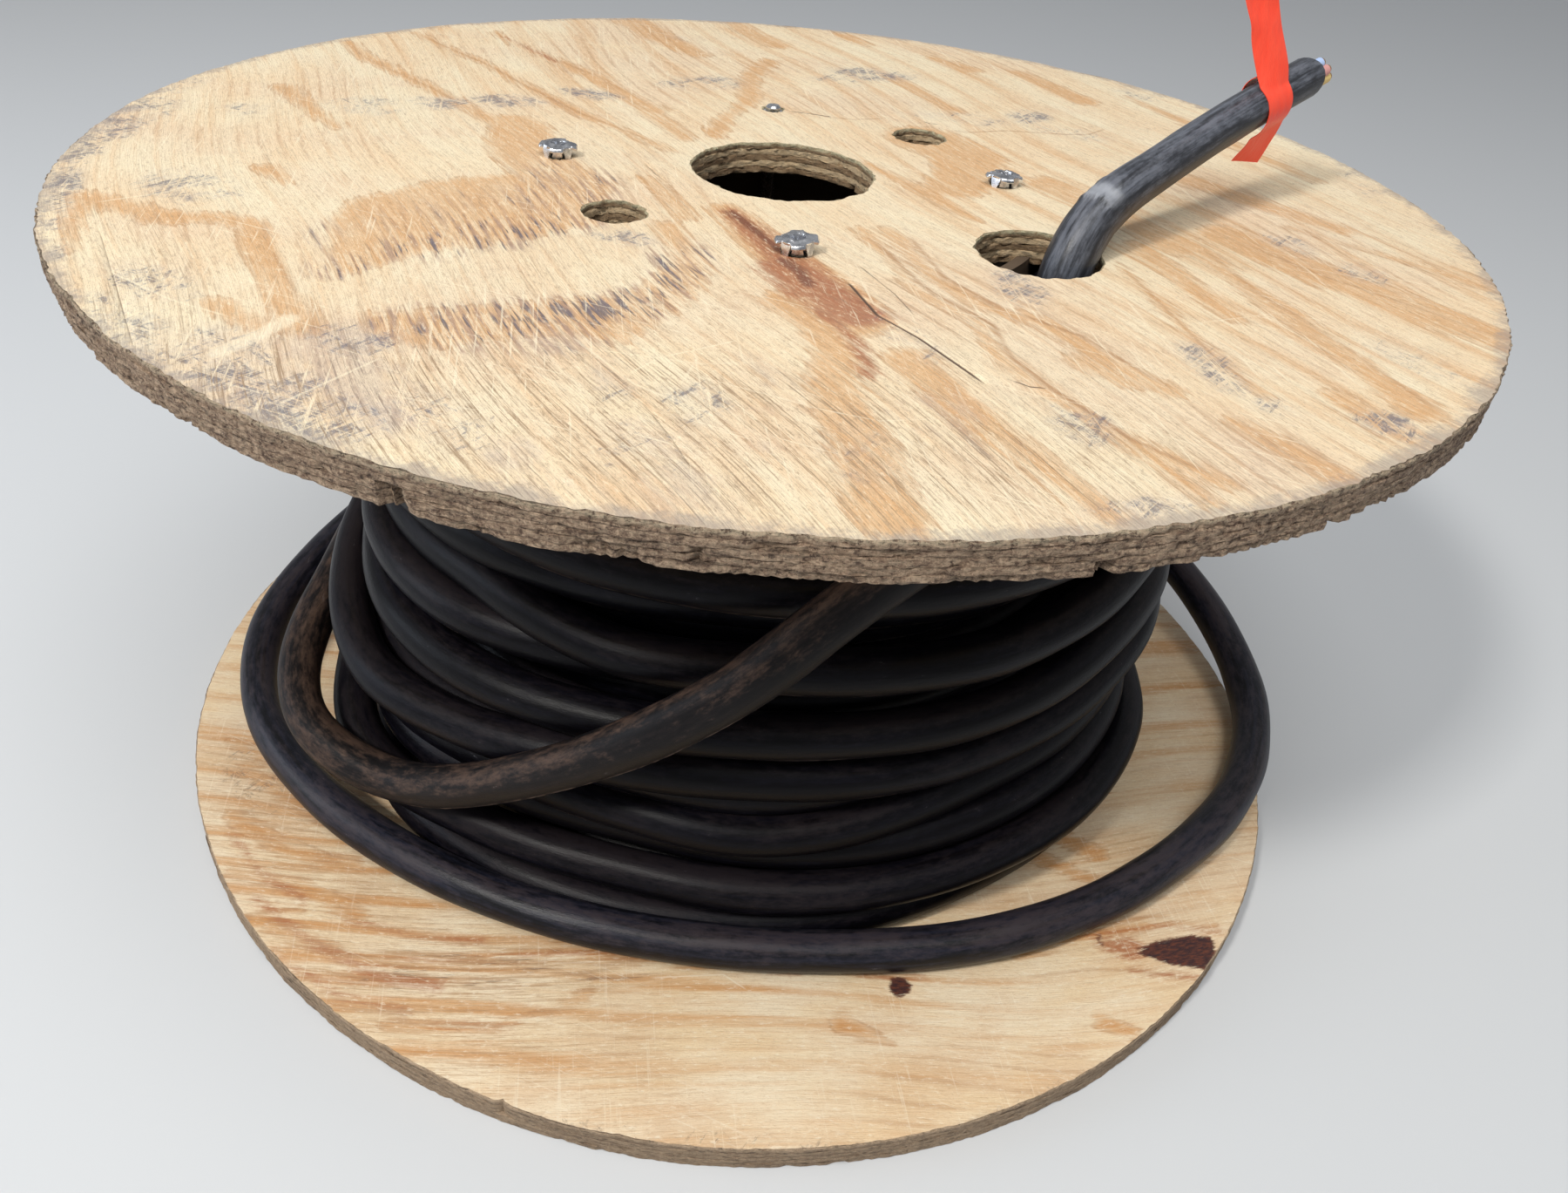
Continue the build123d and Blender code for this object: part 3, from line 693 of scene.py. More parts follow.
# The marks on the top flange's upper face: two islands of combed figure, then all that the face shows.
comb_island = [
    (-141, 46), (-128, 50), (-112, 34), (-103, 0), (-89, -14), (-72, -41), (-72, -65), (-69, -81),
    (-72, -93), (-86, -103), (-103, -121), (-129, -138), (-151, -165), (-164, -141), (-174, -110),
    (-172, -88), (-145, -55), (-117, -38), (-127, -21), (-138, 0),
]
lower_island = [
    (-134, -193), (-117, -186), (-103, -179), (-86, -172), (-62, -162), (-48, -148), (-41, -124),
    (-46, -100), (-50, -82), (-40, -80), (-28, -110), (-22, -130), (-24, -152), (-34, -179), (-46, -200),
    (-69, -193), (-83, -203), (-103, -214), (-117, -214), (-131, -203),
]
worn_marks = {
    "bands": lambda p: 0.10 + 0.55 * patches(p, [
        (190, -60, 420, 200, -62, 1), (-150, 200, 300, 160, -50, 0.9), (40, 200, 300, 200, -60, 0.9),
        (-30, -260, 200, 90, -60, 0.5),
    ]),
    "figure": lambda p: border(p, [comb_island, lower_island], [
        (12, 13, [
            (-267, -110), (-248, -117), (-232, -126), (-210, -119), (-196, -124), (-184, -148),
            (-172, -169), (-158, -193), (-148, -207),
        ]),
        (9, 8, [(-262, -117), (-258, -138), (-245, -162)]), (13, 9, [(-182, -196), (-160, -212)]),
        (14, 24, [(3, -150), (17, -170), (24, -195), (22, -215), (28, -240), (38, -290)]),
        (14, 34, [(-22, -60), (-6, -90), (14, -124), (26, -160)]),
        # This band paints the far end of the inner end's shadow a warm orange-brown: painted shade.
        (20, 16, [(196, 40), (222, 14), (250, -14)]),
        (8, 12, [(46, -65), (60, -114), (76, -138), (98, -150), (112, -172), (133, -196)]),
        (6, 9, [(34, -69), (54, -131), (74, -155), (78, -183), (88, -203), (109, -231), (136, -255)]),
        (18, 12, [(48, -190), (62, -220), (79, -248), (97, -278)]), (16, 10, [(107, -180), (118, -194)]),
        (5, 6, [(138, -83), (145, -114), (155, -165), (165, -193)]),
        (11, 15, [(172, -45), (193, -114), (207, -155), (217, -193)]),
        (30, 26, [(196, -38), (222, -72), (250, -104), (272, -127)]),
        (6, 7, [(227, -17), (262, -45), (293, -72)]), (4, 5, [(255, -8), (292, -66)]),
        (11, 7, [(188, -190), (200, -214), (206, -222)]), (14, 9, [(150, -60), (160, -90), (172, -128)]),
        (7, 9, [(100, -220), (118, -245), (128, -268)]),
        (8, 15, [(-177, 214), (-155, 182), (-131, 158), (-107, 134), (-86, 103), (-69, 79)]),
        (5, 7, [(-220, 196), (-196, 169), (-165, 138), (-138, 103), (-103, 62), (-76, 38), (-52, 14)]),
        (11, 9, [(-248, 158), (-231, 131), (-207, 107), (-182, 83), (-155, 52), (-138, 34)]),
        (26, 18, [(-103, 276), (-83, 241), (-55, 207)]), (15, 17, [(-41, 300), (-24, 269), (-10, 248)]),
        (13, 10, [(-14, 203), (-24, 162), (-21, 117), (-31, 76), (-34, 45)]),
        (8, 11, [(-90, 103), (-69, 69), (-48, 36)]), (6, 9, [(-60, -30), (-46, -52), (-38, -74)]),
        (42, 28, [(70, 72), (88, 46), (84, 14), (78, -4)]), (13, 9, [(31, 290), (45, 268)]),
        (13, 17, [(86, 248), (104, 226)]), (10, 19, [(136, 232), (156, 196), (166, 178)]),
        (9, 14, [(196, 196), (214, 160), (226, 140)]), (9, 14, [(232, 120), (250, 84), (262, 60)]),
        (12, 8, [(60, 190), (82, 150), (90, 130)]), (10, 7, [(-215, -60), (-200, -75)]),
        (26, 18, [(124, 12), (150, -24), (168, -58)]), (9, 6, [(40, 20), (66, -16), (84, -44)]),
        (12, 8, [(-250, 60), (-226, 30), (-205, 4)]), (7, 9, [(150, -215), (165, -235), (172, -246)]),
    ]),
    "red": lambda p: border(p, [], [
        (11, 27, [(-20, -62), (-12, -78), (-2, -95), (8, -115), (17, -135), (28, -156)]),
        (20, 16, [(2, -120), (12, -142)]), (5, 8, [(22, -160), (30, -182), (34, -204)]),
        (2, 5, [(-170, 205), (-150, 180), (-131, 158)]),
    ], 0.018),
    "core": lambda p: border(p, [], [
        (6, 5, [(-20, -63), (-14, -72), (-6, -86), (3, -104)]), (7, 5, [(4, -112), (10, -122), (13, -134)]),
    ], 0.012),
    "grey": lambda p: patches(p, [
        (-297, -2, 70, 16, 90, 1), (-292, -52, 70, 15, 100, 1), (-280, -100, 60, 14, 110, 1),
        (-262, -145, 60, 11, 120, 0.8), (-293, 45, 60, 12, 80, 0.7), (-300, 20, 40, 26, 90, 0.7),
        (-293, -22, 20, 60, 0, 0.9), (-233, -90, 46, 34, -30, 0.75), (-276, -110, 60, 10, -66, 0.9),
        (-210, -182, 44, 22, -30, 0.7), (-208, -218, 50, 34, -50, 0.8), (-163, -237, 34, 50, 20, 1),
        (-134, -258, 60, 30, -24, 1), (-189, -236, 30, 18, -50, 0.9), (-131, -215, 34, 24, -40, 0.7),
        (-48, -231, 18, 24, -60, 0.5), (-21, -234, 24, 30, 0, 0.55), (-33, -266, 30, 34, -50, 0.55),
        (-61, -102, 26, 16, -20, 0.9), (-103, 97, 36, 18, -20, 1), (-141, 72, 40, 22, 20, 0.95),
        (-170, 58, 34, 22, 10, 0.9), (-48, 142, 50, 30, 30, 0.7), (-203, 41, 34, 34, -50, 0.6),
        (-253, 20, 22, 20, 0, 0.55), (-290, 10, 20, 40, 0, 0.7), (45, 194, 54, 28, 8, 1),
        (27, 172, 34, 24, 0, 0.6), (130, 130, 22, 34, -20, 0.75), (95, 116, 56, 20, 0, 0.6),
        (148, 106, 40, 22, -10, 0.6), (93, -119, 20, 40, 8, 0.85), (220, -40, 18, 28, 20, 0.75),
        (241, -67, 20, 22, 0, 0.7), (153, -174, 18, 40, 10, 0.7), (167, -201, 14, 14, 0, 0.6),
        (98, -227, 22, 26, 0, 0.8), (201, -207, 18, 22, 20, 0.95), (48, -172, 16, 46, 24, 0.5),
        (110, -272, 40, 10, 20, 0.8), (286, 60, 16, 60, 0, 0.5), (200, 205, 40, 20, -50, 0.4),
        (-75, 246, 30, 12, -50, 0.3), (232, -150, 40, 26, -60, 0.35), (30, -255, 24, 40, 0, 0.4),
        (-90, -260, 50, 30, -30, 0.5),
    ]),
    "dash": lambda p: np.maximum(
        0.55 * patches(p, [
            (-154, -156, 22, 24, 0, 1), (-130, -130, 40, 30, 36, 1), (-106, -110, 40, 34, 36, 1),
            (-84, -92, 34, 30, 40, 1), (-140, -104, 50, 40, 30, 0.42), (-118, -84, 60, 50, 30, 0.42),
            (-96, -66, 50, 50, 30, 0.5), (-98, -34, 40, 60, 20, 0.5), (-168, -130, 16, 40, 20, 0.5),
            (-120, -10, 30, 60, 20, 0.2), (-78, -50, 24, 60, 10, 0.8),
        ]),
        patches(p, [
            (-98, -203, 18, 22, 0, 1), (-84, -184, 34, 28, 20, 0.85), (-65, -176, 34, 26, 20, 1),
            (-48, -166, 28, 26, 40, 1), (-38, -148, 20, 34, 0, 0.9), (-42, -122, 12, 30, 10, 0.9),
            (-114, -192, 34, 24, 30, 0.6), (-30, -120, 20, 44, 10, 0.35), (-70, -200, 60, 22, 25, 0.35),
        ]),
    ),
    "knot": lambda p: 0.5 * patches(p, [(176, 4, 3.6, 3.6, 0, 1), (-214, -235, 3, 3, 0, 0.8)]),
    "rim": lambda p: smooth((np.hypot(p[:, 0], p[:, 1]) - 0.290) / 0.014),
    "pores": lambda p: patches(p, [
        (-40, -250, 350, 100, 0, 1.0), (-60, -200, 160, 120, -50, 0.35), (60, -190, 200, 100, -60, 0.2),
        (-215, -190, 160, 60, -50, 0.4),
    ]),
}
worn_lines = {
    "brown_line": [
        (2.2, 0.85, [(52, -65), (65, -114), (83, -138), (110, -158), (128, -186), (141, -200)]),
        (2.2, 0.9, [(34, -69), (59, -131), (79, -155), (83, -183), (93, -203), (114, -234), (141, -258)]),
        (1.8, 0.6, [(138, -83), (145, -114), (155, -165), (165, -193)]),
        (2.4, 0.6, [(178, -52), (189, -100), (206, -141), (217, -176), (227, -203)]),
        (2.2, 0.6, [(196, -40), (223, -75), (257, -106), (275, -127)]),
        (1.8, 0.5, [(227, -21), (262, -48), (286, -76)]),
        (2.0, 0.6, [(-220, 196), (-196, 169), (-165, 138), (-138, 103), (-103, 62), (-76, 38), (-52, 14)]),
        (2.0, 0.5, [(-175, 213), (-152, 182), (-128, 158), (-104, 134), (-83, 103)]),
        (1.6, 0.5, [(-248, 158), (-231, 131), (-207, 107), (-182, 83), (-155, 52)]),
        (1.8, 0.6, [(-182, -145), (-168, -168), (-155, -190)]),
        (1.6, 0.8, [(3, 104), (21, 95), (34, 95), (52, 103)]),
        (1.6, 0.8, [(80, 91), (93, 90), (114, 100), (145, 103), (158, 107), (172, 124)]),
        (1.6, 0.6, [(60, -252), (74, -268), (84, -284)]),
    ],
    "crack": [
        (1.3, 1.0, [(26, -121), (38, -155), (52, -172), (74, -207)]),
        (0.7, 0.55, [(-248, -138), (-216, -192), (-189, -238)]),
        (0.8, 0.5, [(-34, -241), (-25, -258), (-17, -276)]),
        (0.9, 0.8, [(80, -199), (86, -203), (92, -203)]), (0.9, 0.6, [(31, -107), (45, -135), (52, -155)]),
        (1.0, 0.7, [(80, 101), (74, 100), (70, 104)]), (1.0, 0.9, [(0, 100), (12, 98), (24, 96)]),
        (0.9, 0.6, [(-62, -8), (-56, -22), (-50, -30)]),
    ],
    "scored": [
        (7, 0.8, [(-153, -196), (-160, -214), (-169, -236)]), (1.6, 0.6, [(-190, -192), (-172, -226)]),
        (1.4, 0.6, [(-140, -262), (-118, -222)]), (1.3, 0.6, [(-228, -176), (-196, -196), (-170, -206)]),
        (1.3, 0.6, [(-66, -194), (-40, -226), (-22, -238)]),
        (1.1, 0.6, [(-8, -186), (-34, -206), (-44, -222)]),
        (1.1, 0.5, [(-58, -204), (-20, -208), (6, -200)]),
        (1.4, 0.5, [(-30, -188), (-22, -204), (-26, -226)]),
        (1.2, 0.5, [(-84, -212), (-62, -232), (-50, -252)]),
        (1.4, 0.45, [(-120, -246), (-84, -252), (-60, -246)]),
        (1.2, 0.5, [(-282, -36), (-262, -60), (-250, -84)]),
        (1.3, 0.5, [(-286, -70), (-262, -62), (-236, -66)]),
        (1.0, 0.5, [(10, -230), (36, -236), (58, -230)]),
        (1.0, 0.5, [(150, -140), (190, -120), (216, -124)]),
        (1.1, 0.6, [(-262, -118), (-240, -98), (-226, -70)]),
        (1.0, 0.4, [(-150, 20), (-190, -6), (-226, -10)]),
    ],
}
worn_dents = [
    (2.2, 0.0009, [(26, -121), (38, -155), (52, -172), (74, -207)]),
    (1.4, 0.0003, [(-248, -138), (-216, -192), (-189, -238)]),
    (1.4, 0.0003, [(-34, -241), (-25, -258), (-17, -276)]),
    (6, 0.0007, [(74, -205), (84, -207), (94, -210)]), (7, 0.0006, [(46, -46), (52, -54)]),
    (2.4, 0.0006, [(-62, -8), (-50, -30)]),
]
rim_chips = [
    (-108.9, 0.0045, 0.0046, 0, 2), (-71.3, 0.0032, 0.0048, 0, 1), (-50, 0.012, 0.0015, 0, 0),
    (-125, 0.02, 0.0012, 0, 0), (-88, 0.03, 0.0010, 0, 0), (-97, 0.014, 0.0016, 0, 1),
    (-60, 0.02, 0.0011, 0, 0), (-143, 0.02, 0.0014, 0, 1), (-78, 0.010, 0.0013, 0, 0),
    (-155, 0.016, 0.0012, 3, 4), (-104, 0.006, 0.0016, 0, 0), (-92.5, 0.0035, 0.0018, 1, 2),
]
top_disc = flange(
    "top_flange_ply", drum_height - flange_thickness, hole_places + [(start_place, start_hole_radius)],
    1.0, 900, 0.003, rim_chips, worn_grain, worn_marks, worn_lines, worn_dents,
)
fit_piece(top_disc, "top_flange", "worn_plywood", worn_veneer, worn_edge, fresh_veneer, bored_edge)

# The barrel: a plain tube of brown board that the cable is wound on, pushed into a groove in each flange.
# It shows only through the holes, as a dark brown wall below the start hole; its browns are painted darker
# than the board's own, as painted shade inside the drum.
board = Finish("barrel_board", 0.85)
board_streaks = board.noise((30.0, 30.0, 300.0), 4.0)
# Very dark browns: painted shade inside the drum.
board.colour(board.mix(board_streaks, (0.07, 0.045, 0.03, 1), (0.13, 0.09, 0.055, 1)))
board.bump(board_streaks, 0.0004)


def repaint(node, finish):
    """Gives a node's own solid a new finish."""
    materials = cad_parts[node].data.materials
    materials.clear()
    materials.append(finish)


repaint("barrel", board.material)

# The bolts: zinc-plated round-headed bolts, put up through the bottom flange into the tee nuts.
# Their heads lie just inside the flange's outer face.
zinc = Finish("zinc_plate", 0.34, 1.0)
zinc_cloud = zinc.noise((240.0, 240.0, 240.0), 4.0)
zinc_spots = zinc.noise((900.0, 900.0, 900.0), 2.0)
zinc.colour(zinc.mix(zinc.step(zinc_cloud, 0.38, 0.62), (0.46, 0.47, 0.50, 1), (0.80, 0.81, 0.84, 1)))
zinc.rough(zinc.add((zinc_spots, 0.28), 0.10))
zinc.bump(zinc_cloud, 0.00012)
for number in range(1, 5):
    repaint(f"through_bolt_{number}", zinc.material)

# The tee nuts: pressed zinc-plated plates with four lobes, a rolled collar round the bore and four spikes
# that bite into the wood. Three stand a little proud of the flange and one is pulled in below its face.
tee_rises = (0.0040, 0.0045, 0.0035, -0.0026)
tee_tilts = ((2.5, 60), (4.0, -60), (3.0, 150), (2.0, 20))
tee_corners = 96
lobe_reach = 0.0088
notch_reach = 0.0068
lobe_droop = 0.0006
plate_wobble = 0.00018
bore_reach = 0.0032
# Rings of the plate: reach and height in metres, and whether it follows the lobes' outline: 0 for no, else
# the reach is a share of that outline, and it droops in part for 1 and whole for 2.
plate_profile = (
    (bore_reach, -0.0080, 0), (bore_reach, 0.0010, 0), (0.0035, 0.0017, 0), (0.0042, 0.0020, 0),
    (0.0050, 0.0018, 0), (0.0056, 0.0013, 0), (0.0062, 0.0012, 0), (0.93, 0.0012, 1), (0.99, 0.0009, 2),
    (1.0, 0.0004, 2), (0.97, 0.0, 2), (0.90, 0.0, 1), (0.0055, 0.0, 0), (0.0050, -0.0004, 0),
    (0.0050, -0.0080, 0),
)
droop_shares = (0, 0.35, 1.0)
# Each spike from its root to its tip: height, half its width and reach.
spike_profile = ((0.0011, 0.0023, 0.0064), (-0.0008, 0.0023, 0.0069), (-0.0066, 0.0004, 0.0069))
spike_thickness = 0.0010


def tee_nut(number, place, rise, turn, tilt, tilt_turn):
    """One tee nut: a skin turned round its bore through the rings of its profile, and four spikes."""
    turns = np.linspace(0, 2 * math.pi, tee_corners, endpoint=False)
    lobe = smooth(0.5 + 1.9 * np.cos(4 * (turns - turn)))
    edge = notch_reach + (lobe_reach - notch_reach) * lobe
    wobble = wander(turns, 40 + number, 2, 12, plate_wobble)
    rings = []
    for share, level, follows in plate_profile:
        reach = share * edge + wobble if follows else np.full(tee_corners, share)
        height = level - lobe_droop * lobe * droop_shares[follows] + wobble
        rings.append(polar(reach, turns, height))
    corners = np.concatenate(rings)
    faces = ring_faces(len(rings), tee_corners, closed=True)[:, ::-1].tolist()
    for spike in range(4):
        angle = turn + math.radians(45) + spike * math.pi / 2
        ahead = np.array([math.cos(angle), math.sin(angle), 0])
        aside = np.array([-math.sin(angle), math.cos(angle), 0])
        start = len(corners)
        block = []
        for level, half, reach in spike_profile:
            for depth, side in ((0, -1), (0, 1), (spike_thickness, 1), (spike_thickness, -1)):
                block.append(ahead * (reach - depth) + aside * half * side + np.array([0, 0, level]))
        corners = np.concatenate([corners, block])
        faces += ring_faces(len(spike_profile), 4, start).tolist()
        faces += [[start + 3, start + 2, start + 1, start], [start + 8, start + 9, start + 10, start + 11]]
    tilt_turn = math.radians(tilt_turn)
    lean = Matrix.Rotation(math.radians(tilt), 3, Vector((math.cos(tilt_turn), math.sin(tilt_turn), 0)))
    corners = corners @ np.array(lean).T + np.array([place[0], place[1], drum_height + rise])
    nut = mesh_piece(f"tee_nut_plate_{number}", corners, faces, crease=42)
    fit_piece(nut, f"tee_nut_{number}", "zinc_steel", zinc.material)


tee_seats = zip(bolt_places, tee_rises, bolt_turns, tee_tilts)
for number, (place, rise, turn, lean) in enumerate(tee_seats, start=1):
    tee_nut(number, place, rise, turn, *lean)

# The cable: four-core power cable, 21 mm over its black rubbery jacket, about 52 m in all.
# It is wound on the barrel in four layers of thirteen turns, which ride up and spread where they are slack.
cable_radius = 0.0105
twist_length = 0.28
run_gap = 3.1


def gone_along(places):
    """How far along a path each of its places is."""
    return np.concatenate([[0], np.cumsum(np.linalg.norm(np.diff(places, axis=0), axis=1))])


def tube_rings(path, radius, lumps=0.0, seed=0, count=18, pinches=()):
    """Rings of a tube along a path, turned as little as can be from one to the next. Each pinch is a fold:
    how far along it is and how long, its height as a share of the radius, and its turn about the tube."""
    path = np.asarray(path, float)
    heading = unit(np.gradient(path, axis=0))
    side = np.cross(heading[0], (0.0, 0.0, 1.0))
    if np.linalg.norm(side) < 0.1:
        side = np.cross(heading[0], (0.0, 1.0, 0.0))
    turns = np.linspace(0, 2 * math.pi, count, endpoint=False)
    draw = np.random.default_rng(seed)
    phases = draw.uniform(0, 2 * math.pi, 8)
    rings = []
    for place, ahead, along in zip(path, heading, gone_along(path)):
        side = unit(side - ahead * (side @ ahead))
        up = np.cross(side, ahead)
        twist = along * 2 * math.pi / twist_length
        swell = 1 + lumps * (
            0.5 * np.cos(4 * turns + 4 * twist + phases[0])
            + 0.7 * np.cos(2 * turns - twist * 0.7 + phases[1])
            + 0.6 * math.sin(along * 90 + phases[2]) + 0.5 * math.sin(along * 41 + phases[3])
        )
        for at, length, height, turn in pinches:
            fold = height * math.exp(-(((along - at) / length) ** 2))
            swell = swell + fold * np.maximum(np.cos(turns - turn), 0) ** 2
        spokes = np.cos(turns)[:, None] * side + np.sin(turns)[:, None] * up
        rings.append(place + radius * swell[:, None] * spokes)
    return np.array(rings)


def tube_mesh(name, tubes):
    """One mesh of several tubes: each is its rings and whether it closes on itself. The named value "run"
    holds how far along its tube a corner is, with a gap between tubes so that no two look alike, and where
    on the tube's round it lies."""
    corners, faces, runs, total = [], [], [], 0
    for rings, closed in tubes:
        length, count = rings.shape[:2]
        corners.append(rings.reshape(-1, 3))
        turns = np.linspace(0, 2 * math.pi, count, endpoint=False)
        run = np.zeros((length, count, 3))
        run[:, :, 0] = gone_along(rings.mean(1))[:, None] + run_gap * len(corners)
        run[:, :, 1] = cable_radius * np.cos(turns)
        run[:, :, 2] = cable_radius * np.sin(turns)
        runs.append(run.reshape(-1, 3))
        faces += ring_faces(length, count, total, closed).tolist()
        if not closed:
            faces.append((total + np.arange(count)[::-1]).tolist())
            faces.append((total + (length - 1) * count + np.arange(count)).tolist())
        total += length * count
    piece = mesh_piece(name, np.concatenate(corners), faces, crease=50)
    hold(piece, "run", np.concatenate(runs))
    return piece


def jacket_finish(name, black, worn, wear, dust, dust_colour, gloss, shine, kink=None):
    """Black rubbery cable jacket: bluish grey in streaks along it and a little more where it faces up, as
    rub marks and painted sheen, with dust on top and along its lower edge. kink is the run at which a sharp
    bend is painted pale on one side, as a scuff and the painted highlight of its creases."""
    made = Finish(name, 0.5)
    made.shader.inputs["Specular IOR Level"].default_value = shine
    run = made.node("Attribute", attribute_name="run").outputs["Vector"]
    patch = made.noise((9.0, 60.0, 60.0), 4.0, 0.6, place=run)
    streak = made.noise((16.0, 330.0, 330.0), 5.0, 0.7, place=run)
    scrape = made.noise((120.0, 300.0, 300.0), 5.0, 0.75, place=run)
    pores = made.noise((1500.0, 1500.0, 1500.0), 2.0)
    facing = made.node("SeparateXYZ", {0: made.node("NewGeometry").outputs["Normal"]}).outputs[2]
    # Bluish grey streaks, a little more where the jacket faces up: rub marks and painted sheen.
    rubbed = made.step(made.add((streak, 0.6), (patch, 0.6), (scrape, 0.5), (facing, 0.10)), 0.78, 1.05)
    made.paint = black
    made.coat(rubbed, worn, wear)
    lying = made.step(made.add((facing, 0.5), (scrape, 1.9), (patch, 2.6), -2.30), 0.1, 0.8)
    made.coat(lying, dust_colour, dust)
    low_edge = made.calc("ABSOLUTE", made.add(facing, (patch, 0.9), 0.10))
    low_edge = made.times(made.step(low_edge, 0.055, 0.015), made.step(scrape, 0.40, 0.62))
    low_edge = made.times(low_edge, made.step(patch, 0.46, 0.56))
    made.coat(low_edge, (0.30, 0.22, 0.18, 1), dust)
    made.coat(made.step(scrape, 0.67, 0.74), (0.16, 0.16, 0.18, 1), 0.35)
    if kink:
        # A pale patch on one side of the sharp bend: a scuff and the painted highlight of its creases.
        along, left, behind = made.node("SeparateXYZ", {0: run}).outputs
        from_kink = made.add(along, (scrape, 0.012), -kink - 0.006)
        near = made.step(made.calc("ABSOLUTE", from_kink), 0.006, 0.001)
        scuffed = made.times(near, made.step(made.add((left, 0.71), (behind, -0.71)), 0.005, 0.0095))
        made.coat(scuffed, (0.36, 0.38, 0.42, 1), 0.7)
    made.colour(made.paint)
    made.rough(made.add((scrape, 0.25), (streak, 0.2), gloss))
    made.bump(made.add((scrape, 0.6), (streak, 0.6), (pores, 0.15)), 0.00035, 0.8)
    return made.material


jacket = jacket_finish(
    "cable_jacket", (0.0022, 0.0018, 0.0028, 1), (0.006, 0.006, 0.011, 1), 0.8, 0.30,
    (0.034, 0.024, 0.021, 1), 0.16, 0.13,
)
dusty_jacket = jacket_finish(
    "dusty_cable_jacket", (0.0050, 0.0042, 0.0048, 1), (0.018, 0.014, 0.014, 1), 0.8, 0.75,
    (0.100, 0.062, 0.045, 1), 0.24, 0.15,
)
handled_jacket = jacket_finish(
    "handled_cable_jacket", (0.0042, 0.0042, 0.0060, 1), (0.016, 0.018, 0.032, 1), 1.0, 0.32,
    (0.078, 0.052, 0.042, 1), 0.15, 0.24,
)
end_jacket = jacket_finish(
    "scuffed_cable_jacket", (0.022, 0.024, 0.030, 1), (0.125, 0.138, 0.170, 1), 1.0, 0.2,
    (0.17, 0.16, 0.16, 1), 0.16, 0.34, run_gap + 0.039,
)

# Visible turns, from the lowest up: their centre lines' radius and height in millimetres at the stations,
# which are degrees about the drum.
turn_stations = (-180, -165, -150, -140, -127, -105, -85, -53, -30, -5, 40, 90)
turn_radii = [
    (186, 196, 207, 210, 206, 199, 196, 196, 205, 221, 204, 187),
    (200, 208, 222, 219, 204, 192, 195, 203, 214, 222, 206, 196),
    (186, 188, 200, 199, 190, 178, 180, 190, 199, 207, 196, 186),
    (186, 196, 203, 201, 194, 187, 190, 183, 193, 203, 190, 186),
    (184, 192, 198, 196, 188, 180, 180, 172, 182, 193, 180, 184),
    (199, 210, 216, 216, 206, 194, 188, 187, 199, 213, 203, 187),
    (186, 190, 198, 201, 199, 191, 188, 192, 199, 211, 202, 189),
    (189, 190, 194, 194, 190, 174, 170, 172, 180, 193, 186, 186),
    (186, 184, 184, 183, 183, 188, 188, 191, 197, 204, 195, 187),
    (188, 187, 186, 184, 180, 172, 168, 172, 180, 190, 186, 187),
    (187, 187, 187, 187, 187, 188, 188, 191, 196, 200, 192, 187),
    (186, 186, 186, 186, 186, 186, 186, 187, 192, 196, 190, 186),
    (186, 186, 186, 186, 186, 186, 186, 186, 188, 190, 188, 186),
    (186, 186, 186, 186, 186, 186, 186, 186, 186, 187, 186, 186),
]
turn_heights = [
    (25, 25, 25, 25, 25, 25, 24.5, 25, 25, 25, 25, 25),
    (86, 74, 58, 49, 44, 43.5, 44.5, 45, 45.5, 46, 47, 54),
    (65, 58, 60, 61, 62.5, 61, 59.5, 62, 64, 65, 67, 66),
    (88, 93, 82, 82, 82, 79, 77.5, 80, 83, 85, 87, 88),
    (108, 110, 102, 101, 100, 96, 94.5, 96, 99, 103, 105, 109),
    (133, 118, 110, 107, 107, 113, 111.5, 104, 109.5, 117, 127, 130),
    (150, 146, 140, 138, 135, 134, 136, 134, 138, 142, 148, 150),
    (167, 164, 160, 158.5, 158, 156, 157, 152, 156, 162, 168, 169),
    (181, 180, 176, 174, 175, 170, 172, 168, 172, 177, 186, 188),
    (198, 196, 194.5, 193.5, 192, 191, 190, 189, 192, 197, 206, 207),
    (218, 217, 215, 214, 213, 212, 211, 209, 212, 217, 225, 227),
    (238, 236, 235, 234, 234, 234, 235, 233, 236, 240, 246, 246),
    (258, 257, 257, 256, 256, 256, 257, 255, 257, 260, 266, 266),
    (279, 279, 279, 279, 279, 279, 279, 279, 280, 282, 285, 285),
]
turn_shapes = [tuple(zip(radii, heights)) for radii, heights in zip(turn_radii, turn_heights)]


def turn_path(shape, steps=220):
    """Centre line of one turn through its stations, going round smoothly from the back."""
    stations = np.radians(np.array(turn_stations + (180,), float))
    at = np.radians((np.linspace(90, 450, steps, endpoint=False) + 180) % 360 - 180)
    values = np.array(list(shape) + [shape[0]], float) / per_metre
    slopes = np.zeros_like(values)
    gaps = np.diff(stations)
    for i in range(len(stations) - 1):
        before = i - 1 if i else len(stations) - 2
        slopes[i] = (values[i + 1] - values[before]) / (gaps[i] + gaps[before if i else -1])
    slopes[-1] = slopes[0]
    index = np.clip(np.searchsorted(stations, at, side="right") - 1, 0, len(gaps) - 1)
    share = ((at - stations[index]) / gaps[index])[:, None]
    gap = gaps[index][:, None]
    start, end = values[index], values[index + 1]
    bend = (
        (2 * share**3 - 3 * share**2 + 1) * start + (share**3 - 2 * share**2 + share) * gap * slopes[index]
        + (3 * share**2 - 2 * share**3) * end + (share**3 - share**2) * gap * slopes[index + 1]
    )
    return polar(bend[:, 0], at, bend[:, 1])


